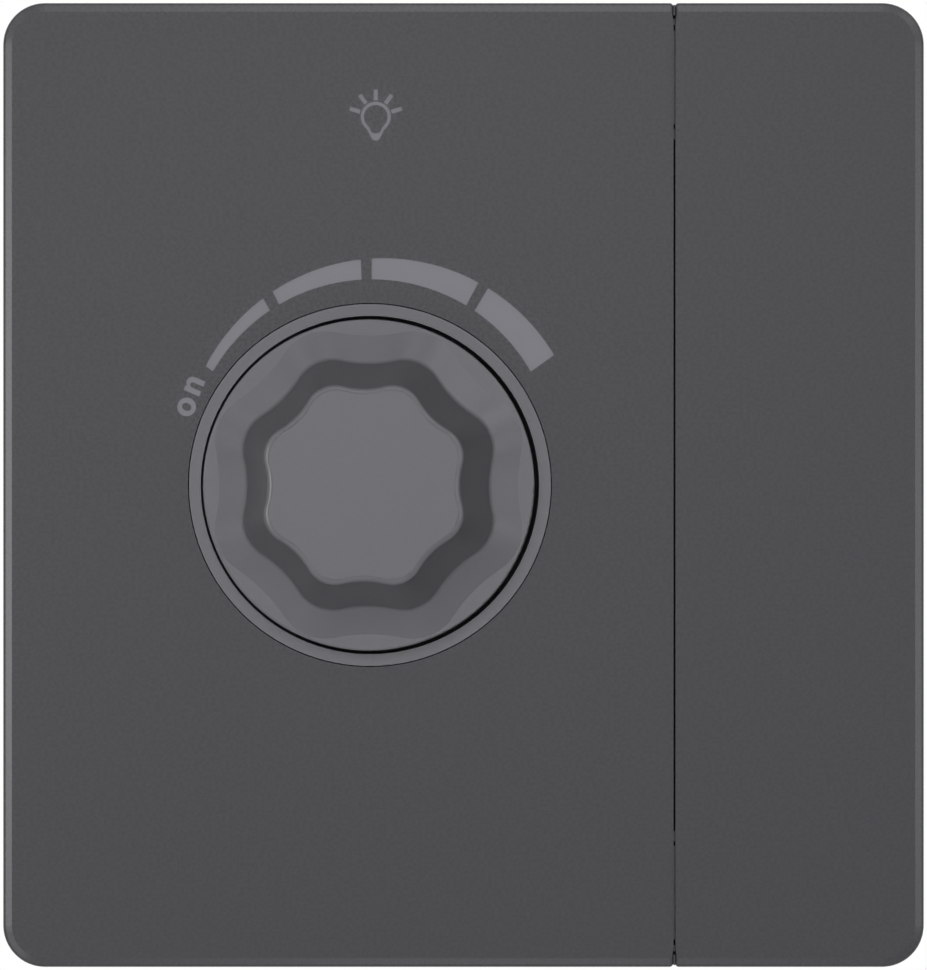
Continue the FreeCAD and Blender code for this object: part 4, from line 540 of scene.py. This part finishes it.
# Each softbox's name, place, width in metres and power in watts. The front one lights the surfaces and shows
# in no reflection; the others show only in reflections
SOFTBOX_TARGET = Vector((0, 0, 0))
FRONT_SOFTBOX = ("front", (-0.05, -1.28, 0.18), 0.6, 9.7)
REFLECTED_SOFTBOXES = (
    ("key_left", (-0.75, -1.06, 0), 0.5, 4.7),
    ("key_right", (0.8, -1.02, 0), 0.5, 2.1),
    ("high", (0, -1.0, 0.83), 0.5, 2.1),
    ("high_left", (-0.7, -0.84, 0.7), 0.5, 1.1),
    ("high_right", (0.7, -0.84, 0.7), 0.5, 1.8),
    ("low", (0, -0.36, -0.25), 0.12, 0.08),
    ("low_left", (-0.27, -0.42, -0.25), 0.15, 0.16),
)


def softbox(name, place, width, power):
    """A square area lamp that faces the object and isn't seen by the camera."""
    lamp = bpy.data.lights.new(name, "AREA")
    lamp.shape = "SQUARE"
    lamp.size = width
    lamp.energy = power
    holder = put_object(name, lamp)
    holder.location = place
    course = SOFTBOX_TARGET - Vector(place)
    holder.rotation_euler = course.to_track_quat("-Z", "Y").to_euler()
    holder.visible_camera = False
    return holder


def make_softboxes():
    """The front softbox, and those that draw the light bands on rims and edges."""
    softbox(*FRONT_SOFTBOX).visible_glossy = False
    for values in REFLECTED_SOFTBOXES:
        softbox(*values).visible_diffuse = False


def shown_rays(tree):
    """One for the rays that show what is behind: straight, in a reflection or through glass."""
    path = add(tree, "ShaderNodeLightPath")
    shown = path.outputs["Is Camera Ray"]
    for kind in ("Is Glossy Ray", "Is Transmission Ray"):
        either = add(tree, "ShaderNodeMath", operation="MAXIMUM")
        link(tree, shown, either.inputs[0])
        link(tree, path.outputs[kind], either.inputs[1])
        shown = either.outputs[0]
    return shown


def make_world():
    """White behind the object and in its reflections, with no diffuse light of its own."""
    world = bpy.data.worlds.new("studio")
    bpy.context.scene.world = world
    world.use_nodes = True
    tree = world.node_tree
    tree.nodes.clear()
    output = add(tree, "ShaderNodeOutputWorld")
    background = add(tree, "ShaderNodeBackground", Color=WHITE)
    link(tree, shown_rays(tree), background.inputs["Strength"])
    link(tree, background.outputs["Background"], output.inputs["Surface"])


def floor_paper():
    """Pale paper that is seen nearly white, and as white as the background towards the floor's edge."""
    material, tree, shader = new_material("floor_paper")
    cloud = speckle(tree, FLOOR_CLOUD)
    link(tree, varied_colour(tree, cloud, FLOOR_COLOUR, FLOOR_SWING), shader.inputs["Base Color"])
    shader.inputs["Roughness"].default_value = FLOOR_ROUGHNESS
    coords = add(tree, "ShaderNodeTexCoord")
    distance = add(tree, "ShaderNodeVectorMath", operation="LENGTH")
    link(tree, coords.outputs["Object"], distance.inputs[0])
    share = add(tree, "ShaderNodeMath", operation="MULTIPLY")
    link(tree, shown_rays(tree), share.inputs[0])
    link(tree, spread(tree, distance.outputs["Value"], FLOOR_WHITE, FLOOR_FADE), share.inputs[1])
    glow = add(tree, "ShaderNodeEmission", Color=WHITE, Strength=1.0)
    mix = add(tree, "ShaderNodeMixShader")
    link(tree, share.outputs[0], mix.inputs["Fac"])
    link(tree, shader.outputs["BSDF"], mix.inputs[1])
    link(tree, glow.outputs["Emission"], mix.inputs[2])
    output = next(node for node in tree.nodes if node.type == "OUTPUT_MATERIAL")
    link(tree, mix.outputs[0], output.inputs["Surface"])
    return material


def make_floor():
    """A plain floor well below the object."""
    mesh = bpy.data.meshes.new("floor")
    shape = bmesh.new()
    bmesh.ops.create_grid(shape, x_segments=FLOOR_SEGMENTS, y_segments=FLOOR_SEGMENTS, size=FLOOR_SIZE / 2)
    shape.to_mesh(mesh)
    shape.free()
    mesh.materials.append(floor_paper())
    floor = put_object("floor", mesh)
    floor.location.z = cad_box[0].z - FLOOR_DROP


def make_camera():
    """A camera straight in front of the origin, framed like the photo."""
    camera = put_object("camera", bpy.data.cameras.new("camera"))
    camera.location = (0, -CAMERA_DISTANCE, 0)
    camera.rotation_euler = (math.pi / 2, 0, 0)
    camera.data.lens = CAMERA_LENS
    camera.data.sensor_width = CAMERA_SENSOR
    camera.data.clip_start = CAMERA_NEAR
    camera.data.clip_end = CAMERA_FAR
    bpy.context.scene.camera = camera


dress_cad_nodes()
scale_marks()
word_marks()
lamp_marks()
gap_fins()
pressed_spring("plunger_spring")
pressed_spring("rocker_springs")
make_world()
make_floor()
make_camera()
make_softboxes()

bpy.context.scene.view_settings.view_transform = "Standard"
